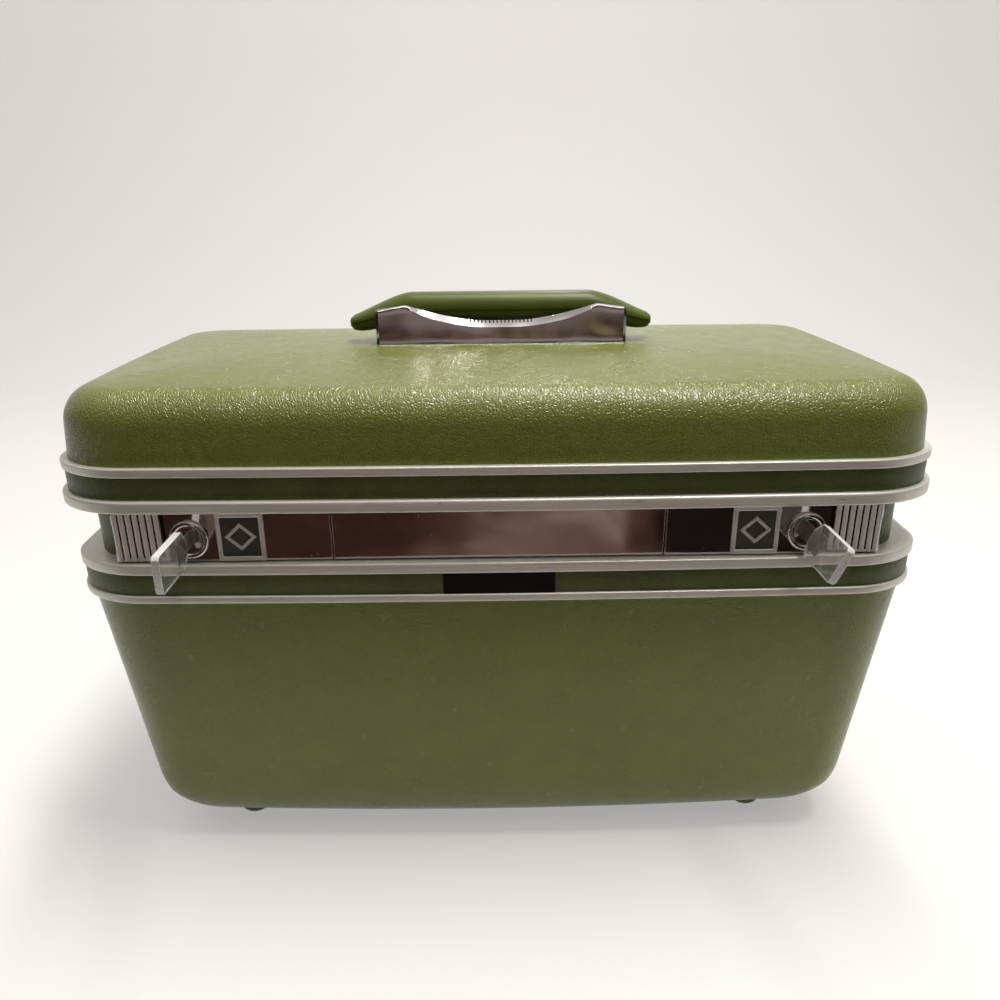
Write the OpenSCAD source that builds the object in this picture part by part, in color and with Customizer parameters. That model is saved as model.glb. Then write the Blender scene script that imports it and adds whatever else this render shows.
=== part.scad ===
// Hard-side makeup train case: moulded lid and body on two metal rim frames,
// rear hinges, lift-up carrying handle, and two sliding latches with key locks.
// X runs along the case, the front faces -Y, and Z is up from the feet.

/* [Case] */
// Width over the lid lip
case_w = 354.4; // [320:0.1:400]
// Depth over the lid lip, at mid width
case_d = 224; // [205:1:260]
// Plan radius of the corners at the lid lip
corner_r = 35; // [32:0.5:40]
// How far the front and back bulge between the corners
front_bow = 2.2; // [1.5:0.1:4]
// How far the ends bulge between the corners
side_bow = 1.2; // [0.8:0.1:3]
// Height of the body from its underside to the rim shelf
body_h = 136.2; // [115:0.1:170]
// Height of the lid from its lip to its top edge
lid_h = 44.1; // [40:0.5:70]
// Extra height of the lid at the middle of its top
lid_crown = 4.5; // [2:0.5:7]
// Gap between the two rims, where the locks sit
throat_gap = 21; // [19:0.5:26]
// How far the body rim stands in from the lid lip
base_step = 2.1; // [1.5:0.1:3]
// Draft of the lid wall in degrees
lid_draft = 5; // [2:0.5:8]
// Draft of the body wall in degrees
body_draft = 6.4; // [4:0.2:9]
// Radius of the lid's top edge
lid_edge_r = 15; // [12:0.5:16]
// Radius of the body's bottom edge
body_edge_r = 31; // [24:0.5:40]
// How much more the body's walls bulge at its bottom than at its rim
body_bulge = 2.2; // [1:0.1:3]
// Wall of the moulded shells
shell_t = 2.6; // [2:0.1:3.2]

/* [Rims] */
// Height of the lid's bottom lip
lip_h = 4.8; // [3.8:0.1:5.5]
// Rounded top edge of the lid's bottom lip
lip_r = 1.2; // [0.6:0.1:1.6]
// How far the lid's upper bead stands in from the lip
lid_bead_step = 1.35; // [0.8:0.05:2]
// Height of the lid's upper bead
lid_bead_h = 3.5; // [2.5:0.1:4.5]
// Height of the vinyl band on the lid
lid_band_h = 8.7; // [7:0.1:11]
// Height of the rail at the top of the body
rail_h = 4.3; // [3.2:0.1:5.5]
// Height of the bead at the bottom of the body rim
body_bead_h = 3.1; // [2.5:0.1:4]
// Height of the vinyl band on the body
body_band_h = 8.7; // [8.5:0.1:11]
// Edge radius of rails and beads
bead_r = 0.6; // [0.3:0.1:1]
// Thickness of the rim metal behind a band
web_t = 1; // [0.8:0.1:1.4]
// Depth of the groove that holds a band
groove_d = 1.9; // [1.2:0.1:2.4]
// Thickness of the vinyl bands
band_t = 0.9; // [0.6:0.1:1.1]
// Thickness of the rims' flat flanges
flange_t = 1.8; // [1.2:0.1:2.4]
// How far the throat wall stands in from the lid lip
throat_set = 11.5; // [10.5:0.1:12.5]
// Thickness of the throat wall
throat_t = 2.5; // [2:0.1:3.2]
// Thickness of the tongue that locates the lid
tongue_t = 0.8; // [0.6:0.1:1.2]
// Height of the tongue above the lid lip
tongue_h = 3.6; // [2.5:0.1:5]
// Clearance between the tongue and the lid's flange
tongue_gap = 0.7; // [0.6:0.05:1]

/* [Feet] */
// Diameter of a foot
foot_d = 15; // [12:0.5:20]
// Height of a foot
foot_h = 5; // [4:0.5:8]
// Distance of the feet from mid width
foot_x = 121; // [95:1:126]
// Distance of the feet from mid depth
foot_y = 62; // [40:1:68]
// Diameter of the flat a foot stands on
foot_flat_d = 7; // [4:0.5:10]

/* [Handle] */
// Overall length of the handle
handle_l = 135.4; // [120:0.5:150]
// Width of the grip
handle_w = 21; // [16:0.5:24]
// Height of the handle's top above the lid
handle_top = 20.6; // [18:0.2:26]
// Height of the grip's underside above the lid
handle_under = 8.2; // [7:0.2:12]
// Length of the chrome handle trough
trough_l = 110.8; // [100:0.5:116]
// Height of the trough walls near their ends
trough_h = 16.2; // [14:0.2:18]
// Height of the trough walls at the middle
trough_dip_h = 9.4; // [7:0.2:12]
// Thickness of the trough walls
trough_t = 2.4; // [2.2:0.1:2.8]
// Height of the bevel along the top of the trough walls
bevel_h = 2.6; // [1:0.1:4]
// Width of that bevel
bevel_w = 2; // [0.8:0.1:2.1]
// Side clearance between the handle and the trough
handle_gap = 0.5; // [0.3:0.1:1]
// Distance of the handle pins from mid length
pin_x = 44; // [40:0.5:47]
// How far the handle sits to the right of mid width
handle_shift = 3; // [0:0.5:6]
// Diameter of the handle pins
pin_d = 3; // [2.5:0.1:3.5]
// How far the handle lifts
handle_lift = 5; // [3:0.25:5.25]

/* [Locks] */
// How far the lock plates stand in from the lid lip
lock_set = 7.4; // [7:0.1:8]
// Thickness of the lock plates
plate_t = 1; // [0.8:0.1:1.2]
// Distance from mid width to the seam of the centre plate
seam_x = 65.2; // [50:0.5:80]
// Distance from mid width to a lock cylinder
cylinder_x = 120.9; // [110:0.5:122]
// Diameter of a lock cylinder
cylinder_d = 10.6; // [9:0.2:11]
// Outer diameter of the ring around a cylinder
bezel_d = 15.2; // [14:0.2:16.4]
// How far the ring stands out from the plate
bezel_h = 1.8; // [1:0.1:2.4]
// Distance from a lock cylinder to the middle of its initial plate
initial_pitch = 20.1; // [19:0.1:24]
// Width of an initial plate's frame
initial_w = 18.6; // [14:0.2:18.8]
// Width of a slide button
button_w = 19; // [15:0.5:22]
// Distance from a lock cylinder to the outer end of its slide button
button_reach = 29.5; // [28.5:0.1:31]
// Number of ribs on a slide button
button_ribs = 7; // [5:1:9]
// How far the ribs stand out
rib_h = 0.7; // [0.4:0.1:1]
// How far a latch slides inwards to catch
catch_travel = 1.2; // [0.8:0.1:1.4]
// How much of a latch's guide stays behind the lock plate with the latch open
guide_hold = 15.9; // [12:0.1:17]
// How far a latch slides outwards to free the lid
release_travel = 4; // [3:0.25:5]
// Thickness of the lid's catch plates
catch_t = 1.5; // [1.2:0.1:2]

/* [Keys] */
// Length of the clear bow
bow_l = 34; // [26:0.5:38]
// Height of the clear bow
bow_w = 14.2; // [12:0.2:16]
// Thickness of the clear bow
bow_t = 3; // [2.4:0.1:4]
// Distance from the lock plate to the bow
key_reach = 9.5; // [8:0.5:14]
// Height of the blade
blade_w = 6; // [4:0.2:7]
// Thickness of the blade
blade_t = 1.2; // [0.8:0.1:1.6]
// Lean of the right key and its cylinder in degrees
right_key_lean = 25; // [0:1:40]

/* [Hinges] */
// Distance of the hinges from mid width
hinge_x = 60; // [45:1:90]
// Length of a hinge
hinge_l = 50; // [36:1:60]
// How far the hinge pin stands in from the lid lip
hinge_set = 7.4; // [7:0.1:8]
// Outer diameter of the knuckles
knuckle_d = 5.2; // [4.8:0.1:6]
// Diameter of the hinge pins
hinge_pin_d = 2.6; // [2:0.1:3]
// Thickness of the hinge leaves
leaf_t = 1.2; // [0.8:0.1:1.6]

/* [Interior] */
// Thickness of the padded lining
lining_t = 1.6; // [1:0.1:2.4]
// Width of the lid mirror
mirror_w = 210; // [150:1:240]
// Depth of the lid mirror
mirror_d = 120; // [90:1:130]
// Thickness of the mirror glass
mirror_t = 2; // [1.5:0.1:3]
// Width of the mirror frame's border
mirror_border = 7; // [5:0.5:10]
// Depth of the lift-out tray
tray_h = 38; // [25:1:50]
// Wall of the lift-out tray
tray_t = 1.8; // [1.4:0.1:2.5]

/* [Label] */
// Length of the blank embossing tape on the front
label_l = 44.3; // [30:0.5:60]
// Height of the tape
label_h = 8.4; // [6:0.1:8.5]
// Thickness of the tape
label_t = 0.4; // [0.3:0.1:0.6]

/* [Hidden] */

eps = 0.01;
seat = 0.3;         // air between pieces that rest on curved faces
run_gap = 0.3;      // side play of sliding pieces
slot_play = 0.1;    // play of the handle pins in their slots
blade_play = 0.12;  // play of a blade in its cylinder
arc_fn = 96;        // smoothness of small rounds
lid_gap = 0.4;      // air between the closed lid and the throat wall
crown_flat = 12;    // half depth of the flat at the middle of the lid

leather_green = [0.24, 0.27, 0.13];
band_green = [0.20, 0.24, 0.09];
handle_green = [0.36, 0.42, 0.18];
rim_metal = [0.75, 0.74, 0.70];
chrome = [0.80, 0.78, 0.78];
steel = [0.62, 0.62, 0.60];
lining_cream = [0.85, 0.80, 0.66];
tray_ivory = [0.90, 0.86, 0.74];

// heights of the parting levels
z_bottom = foot_h;
z_shelf = z_bottom + body_h;
z_lip = z_shelf + throat_gap;
z_mid = (z_shelf + z_lip) / 2;
z_lid_bead = z_lip + lip_h + lid_band_h;
z_lid_rim = z_lid_bead + lid_bead_h;
z_lid_edge = z_lip + lid_h;
z_lid_top = z_lid_edge + lid_crown;
z_rail = z_shelf - rail_h;
z_body_band = z_rail - body_band_h;
z_body_rim = z_body_band - body_bead_h;

// plan geometry of the lip outline, shared by every rim piece
half_w = case_w / 2;
half_d = case_d / 2;

function bow_radius(half, r, bow) = (half * half + (r + bow) * (r + bow) - r * r) / (2 * bow);

// offsets of the rims' inner faces from the lip
lid_wall_set = lid_bead_step + groove_d + web_t;
body_wall_set = base_step + groove_d + web_t;
flange_in = throat_set + throat_t - tongue_t - tongue_gap;
throat_in = throat_set + throat_t;

// ---------- helpers ----------

function reversed(list) = [for (i = [len(list) - 1 : -1 : 0]) list[i]];

// points of an arc, without its last point
function arc(c, r, a0, a1, n) =
    [for (i = [0 : n - 1]) let (a = a0 + (a1 - a0) * i / n) [c.x + r * cos(a), c.y + r * sin(a)]];

// closed outline set in from the lip by s, with corner radius r and k times the sides' bow
function outline(s, r, k = 1) =
    let (
        hw = half_w - s,
        hd = half_d - s,
        fb = front_bow * k,
        sb = side_bow * k,
        cx = hw - sb - r,
        cy = hd - fb - r,
        fr = bow_radius(cx, r, fb),
        sr = bow_radius(cy, r, sb),
        fp = atan(cx / (fr - r - fb)),
        sp = atan(cy / (sr - r - sb)),
        nc = 8,
        nf = 4,
        ns = 3
    )
    concat(
        arc([0, fr - hd], fr, -90 - fp, -90 + fp, nf),
        arc([cx, -cy], r, -90 + fp, -sp, nc),
        arc([hw - sr, 0], sr, -sp, sp, ns),
        arc([cx, cy], r, sp, 90 - fp, nc),
        arc([0, hd - fr], fr, 90 - fp, 90 + fp, nf),
        arc([-cx, cy], r, 90 + fp, 180 - sp, nc),
        arc([sr - hw, 0], sr, 180 - sp, 180 + sp, ns),
        arc([-cx, -cy], r, 180 + sp, 270 - fp, nc)
    );

// a shell runs parallel to the rim at first, then its corners and bows fade towards the middle
soft_set = 18;
corner_fade = 0.55;
bow_fade = 0.8;
function inward(s) = max(0, (s - soft_set) / (half_d - soft_set));
function shell_r(s) = (corner_r - min(s, soft_set)) * (1 - corner_fade * inward(s));

function ring(s, z, k) = [for (p = outline(s, shell_r(s), k)) [p.x, p.y, z]];

function lid_ring(s, z) = ring(s, z, 1 - bow_fade * inward(s));

// the body's walls bulge more and more towards its bottom
function body_ring(s, z) =
    ring(s, z, 1 + (body_bulge - 1) * max(0, z_body_rim - z) / (z_body_rim - z_bottom));

// solid skinned over a list of rings, closed by its first and last ring
// each four-sided patch is split the same way from its lower ring, so nested shells stay evenly apart
module loft(rings) {
    n = len(rings[0]);
    m = len(rings);
    polyhedron(
        points = [for (k = [0 : m - 1]) each rings[k]],
        faces = concat(
            [[for (i = [0 : n - 1]) i]],
            [for (k = [0 : m - 2], i = [0 : n - 1])
                let (
                    a = k * n + i,
                    b = k * n + (i + 1) % n,
                    c = a + n,
                    d = b + n,
                    rises = rings[k][0].z < rings[k + 1][0].z
                )
                each rises ? [[a, c, d], [a, d, b]] : [[a, c, b], [c, d, b]]],
            [[for (i = [n - 1 : -1 : 0]) (m - 1) * n + i]]
        ),
        convexity = 6
    );
}

// profile of a drafted wall with a rounded edge: [set-in, distance from the rim]
// h is the height from the rim to the closed end, and last is the end angle of the round
function wall_profile(s0, h, draft, r, last, n) =
    let (
        reach = h - r + r * sin(draft),
        sc = s0 + reach * tan(draft) + r * cos(draft)
    )
    concat(
        [[s0, 0]],
        [for (i = [0 : n]) let (t = draft + (last - draft) * i / n) [sc - r * cos(t), h - r + r * sin(t)]]
    );

// sweeps a closed profile around the lip outline: x of a point is outwards from the lip
module swept_ring(profile) {
    loops = [for (q = profile) [for (p = outline(-q.x, corner_r + q.x)) [p.x, p.y, q.y]]];
    n = len(loops[0]);
    m = len(loops);
    polyhedron(
        points = [for (loop = loops) each loop],
        faces = [for (k = [0 : m - 1], i = [0 : n - 1])
            let (j = (i + 1) % n, l = (k + 1) % m)
            [k * n + i, l * n + i, l * n + j, k * n + j]],
        convexity = 6
    );
}

// rectangle profile from outer face x, going inwards by t
function strip(x, t, z0, z1) = [[x - t, z0], [x, z0], [x, z1], [x - t, z1]];

// quarter round from angle a0 to a0 + 90, about a corner drawn in by r
function round_at(x, z, sx, sz, r, a0) =
    [for (a = [a0 : 45 : a0 + 90]) [x - sx * r + r * cos(a), z - sz * r + r * sin(a)]];

module bar(x0, x1, y0, y1, z0, z1) {
    translate([x0, y0, z0]) cube([x1 - x0, y1 - y0, z1 - z0]);
}

module both_sides() {
    for (m = [0, 1]) mirror([m, 0, 0]) children();
}

module on_side(side) {
    mirror([side < 0 ? 1 : 0, 0, 0]) children();
}

// ---------- body ----------

function body_rings(wall) =
    let (
        n = wall == 0 ? 6 : 4,
        p = wall_profile(
            body_wall_set + wall, z_body_rim - z_bottom - wall, body_draft, body_edge_r - wall, 90, n
        )
    )
    [for (q = p) body_ring(q[0], z_body_rim - q[1])];

// open cup between the body walls at depths wall0 and wall1, rimmed at height top
module body_cup(wall0, wall1, top) {
    loft(concat(
        reversed(body_rings(wall0)),
        [body_ring(body_wall_set + wall0, top)],
        [body_ring(body_wall_set + wall1, top)],
        body_rings(wall1)
    ));
}

module base_shell() {
    color(leather_green) {
        body_cup(0, shell_t, z_shelf - flange_t);
        both_sides()
            for (y = [-foot_y, foot_y])
                translate([foot_x, y, z_bottom]) cylinder(d = foot_d, h = shell_t / 2, $fn = arc_fn);
    }
}

module base_frame() {
    color(rim_metal)
        difference() {
            swept_ring(concat(
                [[-body_wall_set, z_body_rim]],
                round_at(-base_step, z_body_rim, 1, -1, bead_r, -90),
                round_at(-base_step, z_body_band, 1, 1, bead_r, 0),
                [[-base_step - groove_d, z_body_band], [-base_step - groove_d, z_rail]],
                round_at(-base_step, z_rail, 1, -1, bead_r, -90),
                round_at(-base_step, z_shelf, 1, 1, bead_r, 0),
                [
                    [-throat_in, z_shelf],
                    [-throat_in, z_shelf - flange_t],
                    [-body_wall_set, z_shelf - flange_t]
                ]
            ));
            hinge_rivet_places() cylinder(d = rivet_d, h = 3 * flange_t, center = true, $fn = 32);
        }
}

module base_band() {
    color(band_green)
        swept_ring(strip(-base_step - groove_d + band_t, band_t, z_body_band, z_rail));
}

module throat_wall() {
    color(band_green)
        swept_ring([
            [-throat_in, z_shelf],
            [-throat_set, z_shelf],
            [-throat_set, z_lip - lid_gap],
            [-throat_in + tongue_t, z_lip - lid_gap],
            [-throat_in + tongue_t, z_lip + tongue_h],
            [-throat_in, z_lip + tongue_h]
        ]);
}

module label_tape() {
    face_y = -half_d + base_step + groove_d - band_t;
    z0 = (z_rail + z_body_band) / 2 - label_h / 2;
    color([0.03, 0.03, 0.03])
        bar(-label_l / 2, label_l / 2, face_y - label_t, face_y, z0, z0 + label_h);
}

module foot() {
    flat = foot_flat_d / 2;
    flare = foot_d / 2 - flat;
    rotate_extrude($fn = arc_fn)
        polygon(concat(
            [[0, 0]],
            [for (a = [0 : 15 : 90]) [flat + flare * sin(a), foot_h * (1 - cos(a))]],
            [[0, foot_h]]
        ));
}

module feet() {
    color(leather_green)
        both_sides()
            for (y = [-foot_y, foot_y])
                translate([foot_x, y, 0]) foot();
}

lining_set = shell_t + 0.25;

module base_lining() {
    color(lining_cream)
        body_cup(lining_set, lining_set + lining_t, z_shelf - flange_t - seat);
}

// ---------- tray ----------

tray_top = z_shelf - flange_t - 4;
tray_play = 1.2;
tray_set = throat_in + tray_play;

function tray_outline(s, z) = [for (p = outline(tray_set + s, max(corner_r - tray_set - s, 6))) [p.x, p.y, z]];

module tray() {
    taper = 5;
    lip = 2.4;
    divider_x = 45;
    floor_z = tray_top - tray_h;
    color(tray_ivory) {
        loft([
            tray_outline(taper, floor_z),
            tray_outline(lip, tray_top - tray_t),
            tray_outline(0, tray_top - tray_t),
            tray_outline(0, tray_top),
            tray_outline(lip + tray_t, tray_top),
            tray_outline(taper + tray_t, floor_z + tray_t)
        ]);
        for (x = [-divider_x, divider_x])
            bar(x - tray_t / 2, x + tray_t / 2, -half_d + tray_set + taper + tray_t / 2,
                half_d - tray_set - taper - tray_t / 2, floor_z + tray_t / 2, tray_top - lip * 3);
    }
}

// ledges on the lining that the tray's lip sits on
module tray_rests() {
    rest_l = 40;
    rest_h = 8;
    rest_w = 7;
    back = body_wall_set + lining_set + lining_t + seat;
    color(lining_cream)
        both_sides()
            bar(half_w - back - rest_w, half_w - back, -rest_l / 2, rest_l / 2,
                tray_top - tray_t - rest_h, tray_top - tray_t);
}

// ---------- lid ----------

function lid_rings(wall, drop, n) =
    let (
        r = lid_edge_r - wall,
        h = z_lid_edge - drop - z_lid_rim,
        crown_slope = 90 - atan(2 * lid_crown / (half_d - lid_wall_set - lid_edge_r)),
        p = wall_profile(lid_wall_set + wall, h, lid_draft, r, crown_slope, n),
        s_end = p[len(p) - 1][0],
        z_end = z_lid_rim + p[len(p) - 1][1],
        s_mid = half_d - crown_flat
    )
    concat(
        [for (q = p) lid_ring(q[0], z_lid_rim + q[1])],
        [for (f = [0.18, 0.42, 0.7, 1])
            lid_ring(s_end + (s_mid - s_end) * f, z_end + (z_lid_top - drop - z_end) * (1 - pow(1 - f, 2)))]
    );

module lid_shell() {
    color(leather_green)
        difference() {
            loft(concat(
                reversed(lid_rings(shell_t, shell_t, 4)),
                [lid_ring(lid_wall_set + shell_t, z_lip + flange_t)],
                [lid_ring(lid_wall_set, z_lip + flange_t)],
                lid_rings(0, 0, 5)
            ));
            trough_rivet_places() cylinder(d = rivet_d, h = 4 * shell_t, center = true, $fn = 32);
        }
}

module lid_frame() {
    color(rim_metal)
        difference() {
            swept_ring(concat(
                [[-flange_in, z_lip]],
                round_at(0, z_lip, 1, -1, bead_r, -90),
                round_at(0, z_lip + lip_h, 1, 1, lip_r, 0),
                [[-lid_bead_step - groove_d, z_lip + lip_h], [-lid_bead_step - groove_d, z_lid_bead]],
                round_at(-lid_bead_step, z_lid_bead, 1, -1, bead_r, -90),
                round_at(-lid_bead_step, z_lid_rim, 1, 1, bead_r, 0),
                [
                    [-lid_wall_set, z_lid_rim],
                    [-lid_wall_set, z_lip + flange_t],
                    [-flange_in, z_lip + flange_t]
                ]
            ));
            hinge_rivet_places() cylinder(d = rivet_d, h = throat_gap * 2 + 3 * flange_t, center = true, $fn = 32);
        }
}

module lid_band() {
    color(band_green)
        swept_ring(strip(-lid_bead_step - groove_d + band_t, band_t, z_lip + lip_h, z_lid_bead));
}

lid_lining_drop = shell_t + 2;      // leaves room for the rivets under the handle
z_lining_ceiling = z_lid_edge - lid_lining_drop - lining_t;

module lid_lining() {
    outer = shell_t + 0.25;
    inner = outer + lining_t;
    z_low = z_lip + flange_t + seat;
    ceiling = z_lid_edge - lid_lining_drop;
    p0 = wall_profile(lid_wall_set + outer, ceiling - z_lid_rim, lid_draft, lid_edge_r - outer, 90, 4);
    p1 = wall_profile(lid_wall_set + inner, ceiling - lining_t - z_lid_rim, lid_draft, lid_edge_r - inner, 90, 4);
    color(lining_cream)
        loft(concat(
            reversed([for (q = p1) lid_ring(q[0], z_lid_rim + q[1])]),
            [lid_ring(lid_wall_set + inner, z_low)],
            [lid_ring(lid_wall_set + outer, z_low)],
            [for (q = p0) lid_ring(q[0], z_lid_rim + q[1])]
        ));
}

module mirror_frame() {
    depth = mirror_t + 1.2;
    hw = mirror_w / 2;
    hd = mirror_d / 2;
    view = mirror_border;
    rebate = mirror_border / 2;
    color(chrome)
        translate([0, 0, z_lining_ceiling])
            difference() {
                bar(-hw, hw, -hd, hd, -depth, 0);
                bar(-hw + view, hw - view, -hd + view, hd - view, -depth - eps, 0);
                bar(-hw + rebate, hw - rebate, -hd + rebate, hd - rebate, -mirror_t, eps);
            }
}

module mirror_glass() {
    play = 0.2;
    w = mirror_w - mirror_border - 2 * play;
    d = mirror_d - mirror_border - 2 * play;
    color([0.8, 0.85, 0.88])
        translate([-w / 2, -d / 2, z_lining_ceiling - mirror_t]) cube([w, d, mirror_t]);
}

// ---------- hinges ----------

rivet_d = 2.2;
rivet_head_d = 3.2;
rivet_head_h = 0.8;
hinge_y = half_d - hinge_set;
leaf_y = hinge_y - 4;           // front edge of the leaf feet
leaf_w = 7.2;
rivet_y = hinge_y - leaf_t / 2 - rivet_head_d / 2 - 0.1;
knuckle_gap = 0.3;
mid_knuckle_l = hinge_l * 0.42;

module hinge_rivet_places() {
    both_sides()
        for (x = [-1, 1])
            translate([hinge_x + x * hinge_l * 0.36, rivet_y, z_shelf]) children();
}

// one leaf of a hinge about the pin, foot at distance -reach below it
module hinge_leaf(spans) {
    reach = throat_gap / 2;
    difference() {
        union() {
            translate([-hinge_l / 2, leaf_y - hinge_y, -reach]) cube([hinge_l, leaf_w, leaf_t]);
            for (s = spans) {
                translate([s[0], -leaf_t / 2, -reach]) cube([s[1] - s[0], leaf_t, reach]);
                translate([s[0], 0, 0]) rotate([0, 90, 0]) cylinder(d = knuckle_d, h = s[1] - s[0], $fn = arc_fn);
            }
        }
        translate([-hinge_l, 0, 0]) rotate([0, 90, 0]) cylinder(d = hinge_pin_d + 0.1, h = 2 * hinge_l, $fn = arc_fn);
        for (x = [-1, 1])
            translate([x * hinge_l * 0.36, rivet_y - hinge_y, -reach])
                cylinder(d = rivet_d, h = 4 * leaf_t, center = true, $fn = 32);
    }
}

module lower_hinge_leaves() {
    outer_l = (hinge_l - mid_knuckle_l) / 2 - knuckle_gap;
    color(steel)
        both_sides()
            translate([hinge_x, hinge_y, z_mid])
                hinge_leaf([[-hinge_l / 2, -hinge_l / 2 + outer_l], [hinge_l / 2 - outer_l, hinge_l / 2]]);
}

module upper_hinge_leaves() {
    color(steel)
        both_sides()
            translate([hinge_x, hinge_y, z_mid])
                mirror([0, 0, 1]) hinge_leaf([[-mid_knuckle_l / 2, mid_knuckle_l / 2]]);
}

module hinge_pins() {
    head_h = 0.8;
    color(steel)
        both_sides()
            translate([hinge_x - hinge_l / 2, hinge_y, z_mid])
                rotate([0, 90, 0]) {
                    cylinder(d = hinge_pin_d, h = hinge_l, $fn = arc_fn);
                    translate([0, 0, -head_h]) cylinder(d = hinge_pin_d + 1.4, h = head_h, $fn = arc_fn);
                    translate([0, 0, hinge_l]) cylinder(d = hinge_pin_d + 1.4, h = head_h, $fn = arc_fn);
                }
}

module leaf_rivet() {
    translate([0, 0, leaf_t]) cylinder(d = rivet_head_d, h = rivet_head_h, $fn = 32);
    translate([0, 0, -flange_t]) cylinder(d = rivet_d, h = flange_t + leaf_t + eps, $fn = 32);
}

module lower_leaf_rivets() {
    color(rim_metal) hinge_rivet_places() leaf_rivet();
}

module upper_leaf_rivets() {
    color(rim_metal)
        hinge_rivet_places() translate([0, 0, throat_gap]) mirror([0, 0, 1]) leaf_rivet();
}

// ---------- handle ----------

grip_h = handle_top - handle_under;
tip_x = handle_l / 2;
trough_half = trough_l / 2;
trough_in = handle_w / 2 + handle_gap;
trough_out = trough_in + trough_t;
trough_floor_t = 1.6;
z_trough = z_lid_top;
z_seam = z_trough + handle_under + grip_h * 0.42;
tip_drop = 5.4;             // fall of the seam from the grip to the tips
shoulder_x = 40;            // where the grip starts to fall away

// smooth 0..1 ramp
function ramp(t) = let (c = min(max(t, 0), 1)) c * c * (3 - 2 * c);

// height of a trough wall along its length
function trough_wall(x) =
    let (peak = trough_half * 0.76, a = abs(x))
    a > peak
        ? trough_h - 1.8 * (a - peak) / (trough_half - peak)
        : trough_dip_h + (trough_h - trough_dip_h) * pow(max(0, a - 6) / (peak - 6), 1.7);

// one wall of the trough with a bevelled top edge, outer face towards +Y
module trough_wall_solid() {
    n = 36;
    profile = [for (k = [0 : n]) let (x = -trough_half + trough_l * k / n, h = trough_wall(x))
        [
            [x, trough_in, 0], [x, trough_out + 1, 0], [x, trough_out, 3],
            [x, trough_out, h - bevel_h], [x, trough_out - bevel_w, h], [x, trough_in, h]
        ]];
    loft(profile);
}

module handle_trough() {
    color(chrome)
        translate([handle_shift, 0, z_trough])
            difference() {
                union() {
                    trough_wall_solid();
                    mirror([0, 1, 0]) mirror([1, 0, 0]) trough_wall_solid();
                    bar(-trough_half, trough_half, -trough_in - eps, trough_in + eps, 0, trough_floor_t);
                }
                translate([-handle_shift, 0, -z_trough]) {
                    trough_rivet_places() cylinder(d = rivet_d, h = 4 * shell_t, center = true, $fn = 32);
                    pin_places() pin_rod(2 * (trough_out + 1), pin_d);
                }
            }
}

trough_rivet_x = pin_x - 18;
trough_rivet_y = handle_w * 0.24;

module trough_rivet_places() {
    translate([handle_shift, 0, z_trough])
        both_sides()
            for (y = [-trough_rivet_y, trough_rivet_y])
                translate([trough_rivet_x, y, 0]) children();
}

module trough_rivets() {
    grip = trough_floor_t + shell_t;
    color(steel)
        trough_rivet_places() {
            translate([0, 0, trough_floor_t]) cylinder(d = rivet_head_d, h = rivet_head_h, $fn = 32);
            translate([0, 0, trough_floor_t - grip]) cylinder(d = rivet_d, h = grip + eps, $fn = 32);
            translate([0, 0, -shell_t - rivet_head_h]) cylinder(d = rivet_head_d + 1, h = rivet_head_h, $fn = 32);
        }
}

pin_z = z_trough + trough_floor_t + seat + 1.3 + handle_lift + pin_d / 2 + slot_play;

module pin_places() {
    translate([handle_shift, 0, 0]) both_sides() translate([pin_x, 0, pin_z]) children();
}

module pin_rod(l, d) {
    rotate([90, 0, 0]) cylinder(d = d, h = l, center = true, $fn = arc_fn);
}

module handle_pins() {
    color(steel) pin_places() pin_rod(2 * trough_out - 0.4, pin_d);
}

// centre height, half height above and below the seam, and half width of the handle at x
function fall(x) = ramp((abs(x) - shoulder_x) / (tip_x - shoulder_x + 6));
function seam_at(x) = z_seam - tip_drop * fall(x) * 1.08;
function rise_at(x) =
    let (t = min(1, max(0, (abs(x) - shoulder_x) / (tip_x - shoulder_x))))
    (handle_top + z_trough - z_seam) * sqrt(1 - 0.82 * pow(t, 1.6));
function depth_at(x) =
    let (
        a = abs(x),
        leg = ramp((a - shoulder_x + 6) / 6) * ramp((trough_half + 2 - a) / 6),
        t = min(1, max(0, (a - trough_half) / (tip_x - trough_half))),
        free = (z_seam - z_trough - handle_under) * sqrt(1 - 0.8 * t * t),
        full = seam_at(x) - z_trough - trough_floor_t - seat
    )
    free + (full - free) * leg;
function half_width_at(x) =
    let (t = min(1, max(0, (abs(x) - shoulder_x - 8) / (tip_x - shoulder_x - 8))))
    handle_w / 2 * sqrt(1 - 0.72 * t * t * t);

handle_stations = [
    -1, -0.985, -0.955, -0.91, -0.86, -0.81, -0.76, -0.7, -0.64, -0.58, -0.5, -0.25,
    0, 0.25, 0.5, 0.58, 0.64, 0.7, 0.76, 0.81, 0.86, 0.91, 0.955, 0.985, 1
];

// half section: from -Y to +Y over the top (up = 1) or below (up = -1)
function half_section(f, up) =
    let (
        x = f * tip_x,
        w = half_width_at(x),
        h = up > 0 ? rise_at(x) : depth_at(x),
        n = 8
    )
    concat(
        [for (i = [0 : n]) let (a = 180 - 180 * i / n, c = cos(a), s = sin(a))
            [x, w * sign(c) * pow(abs(c), 0.75), seam_at(x) + up * h * pow(s, 0.8)]]
    );

module handle_half(up) {
    rings = [for (f = handle_stations) half_section(f, up)];
    translate([handle_shift, 0, 0]) loft(up > 0 ? rings : reversed(rings));
}

module handle_upper() {
    color(handle_green) handle_half(1);
}

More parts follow.
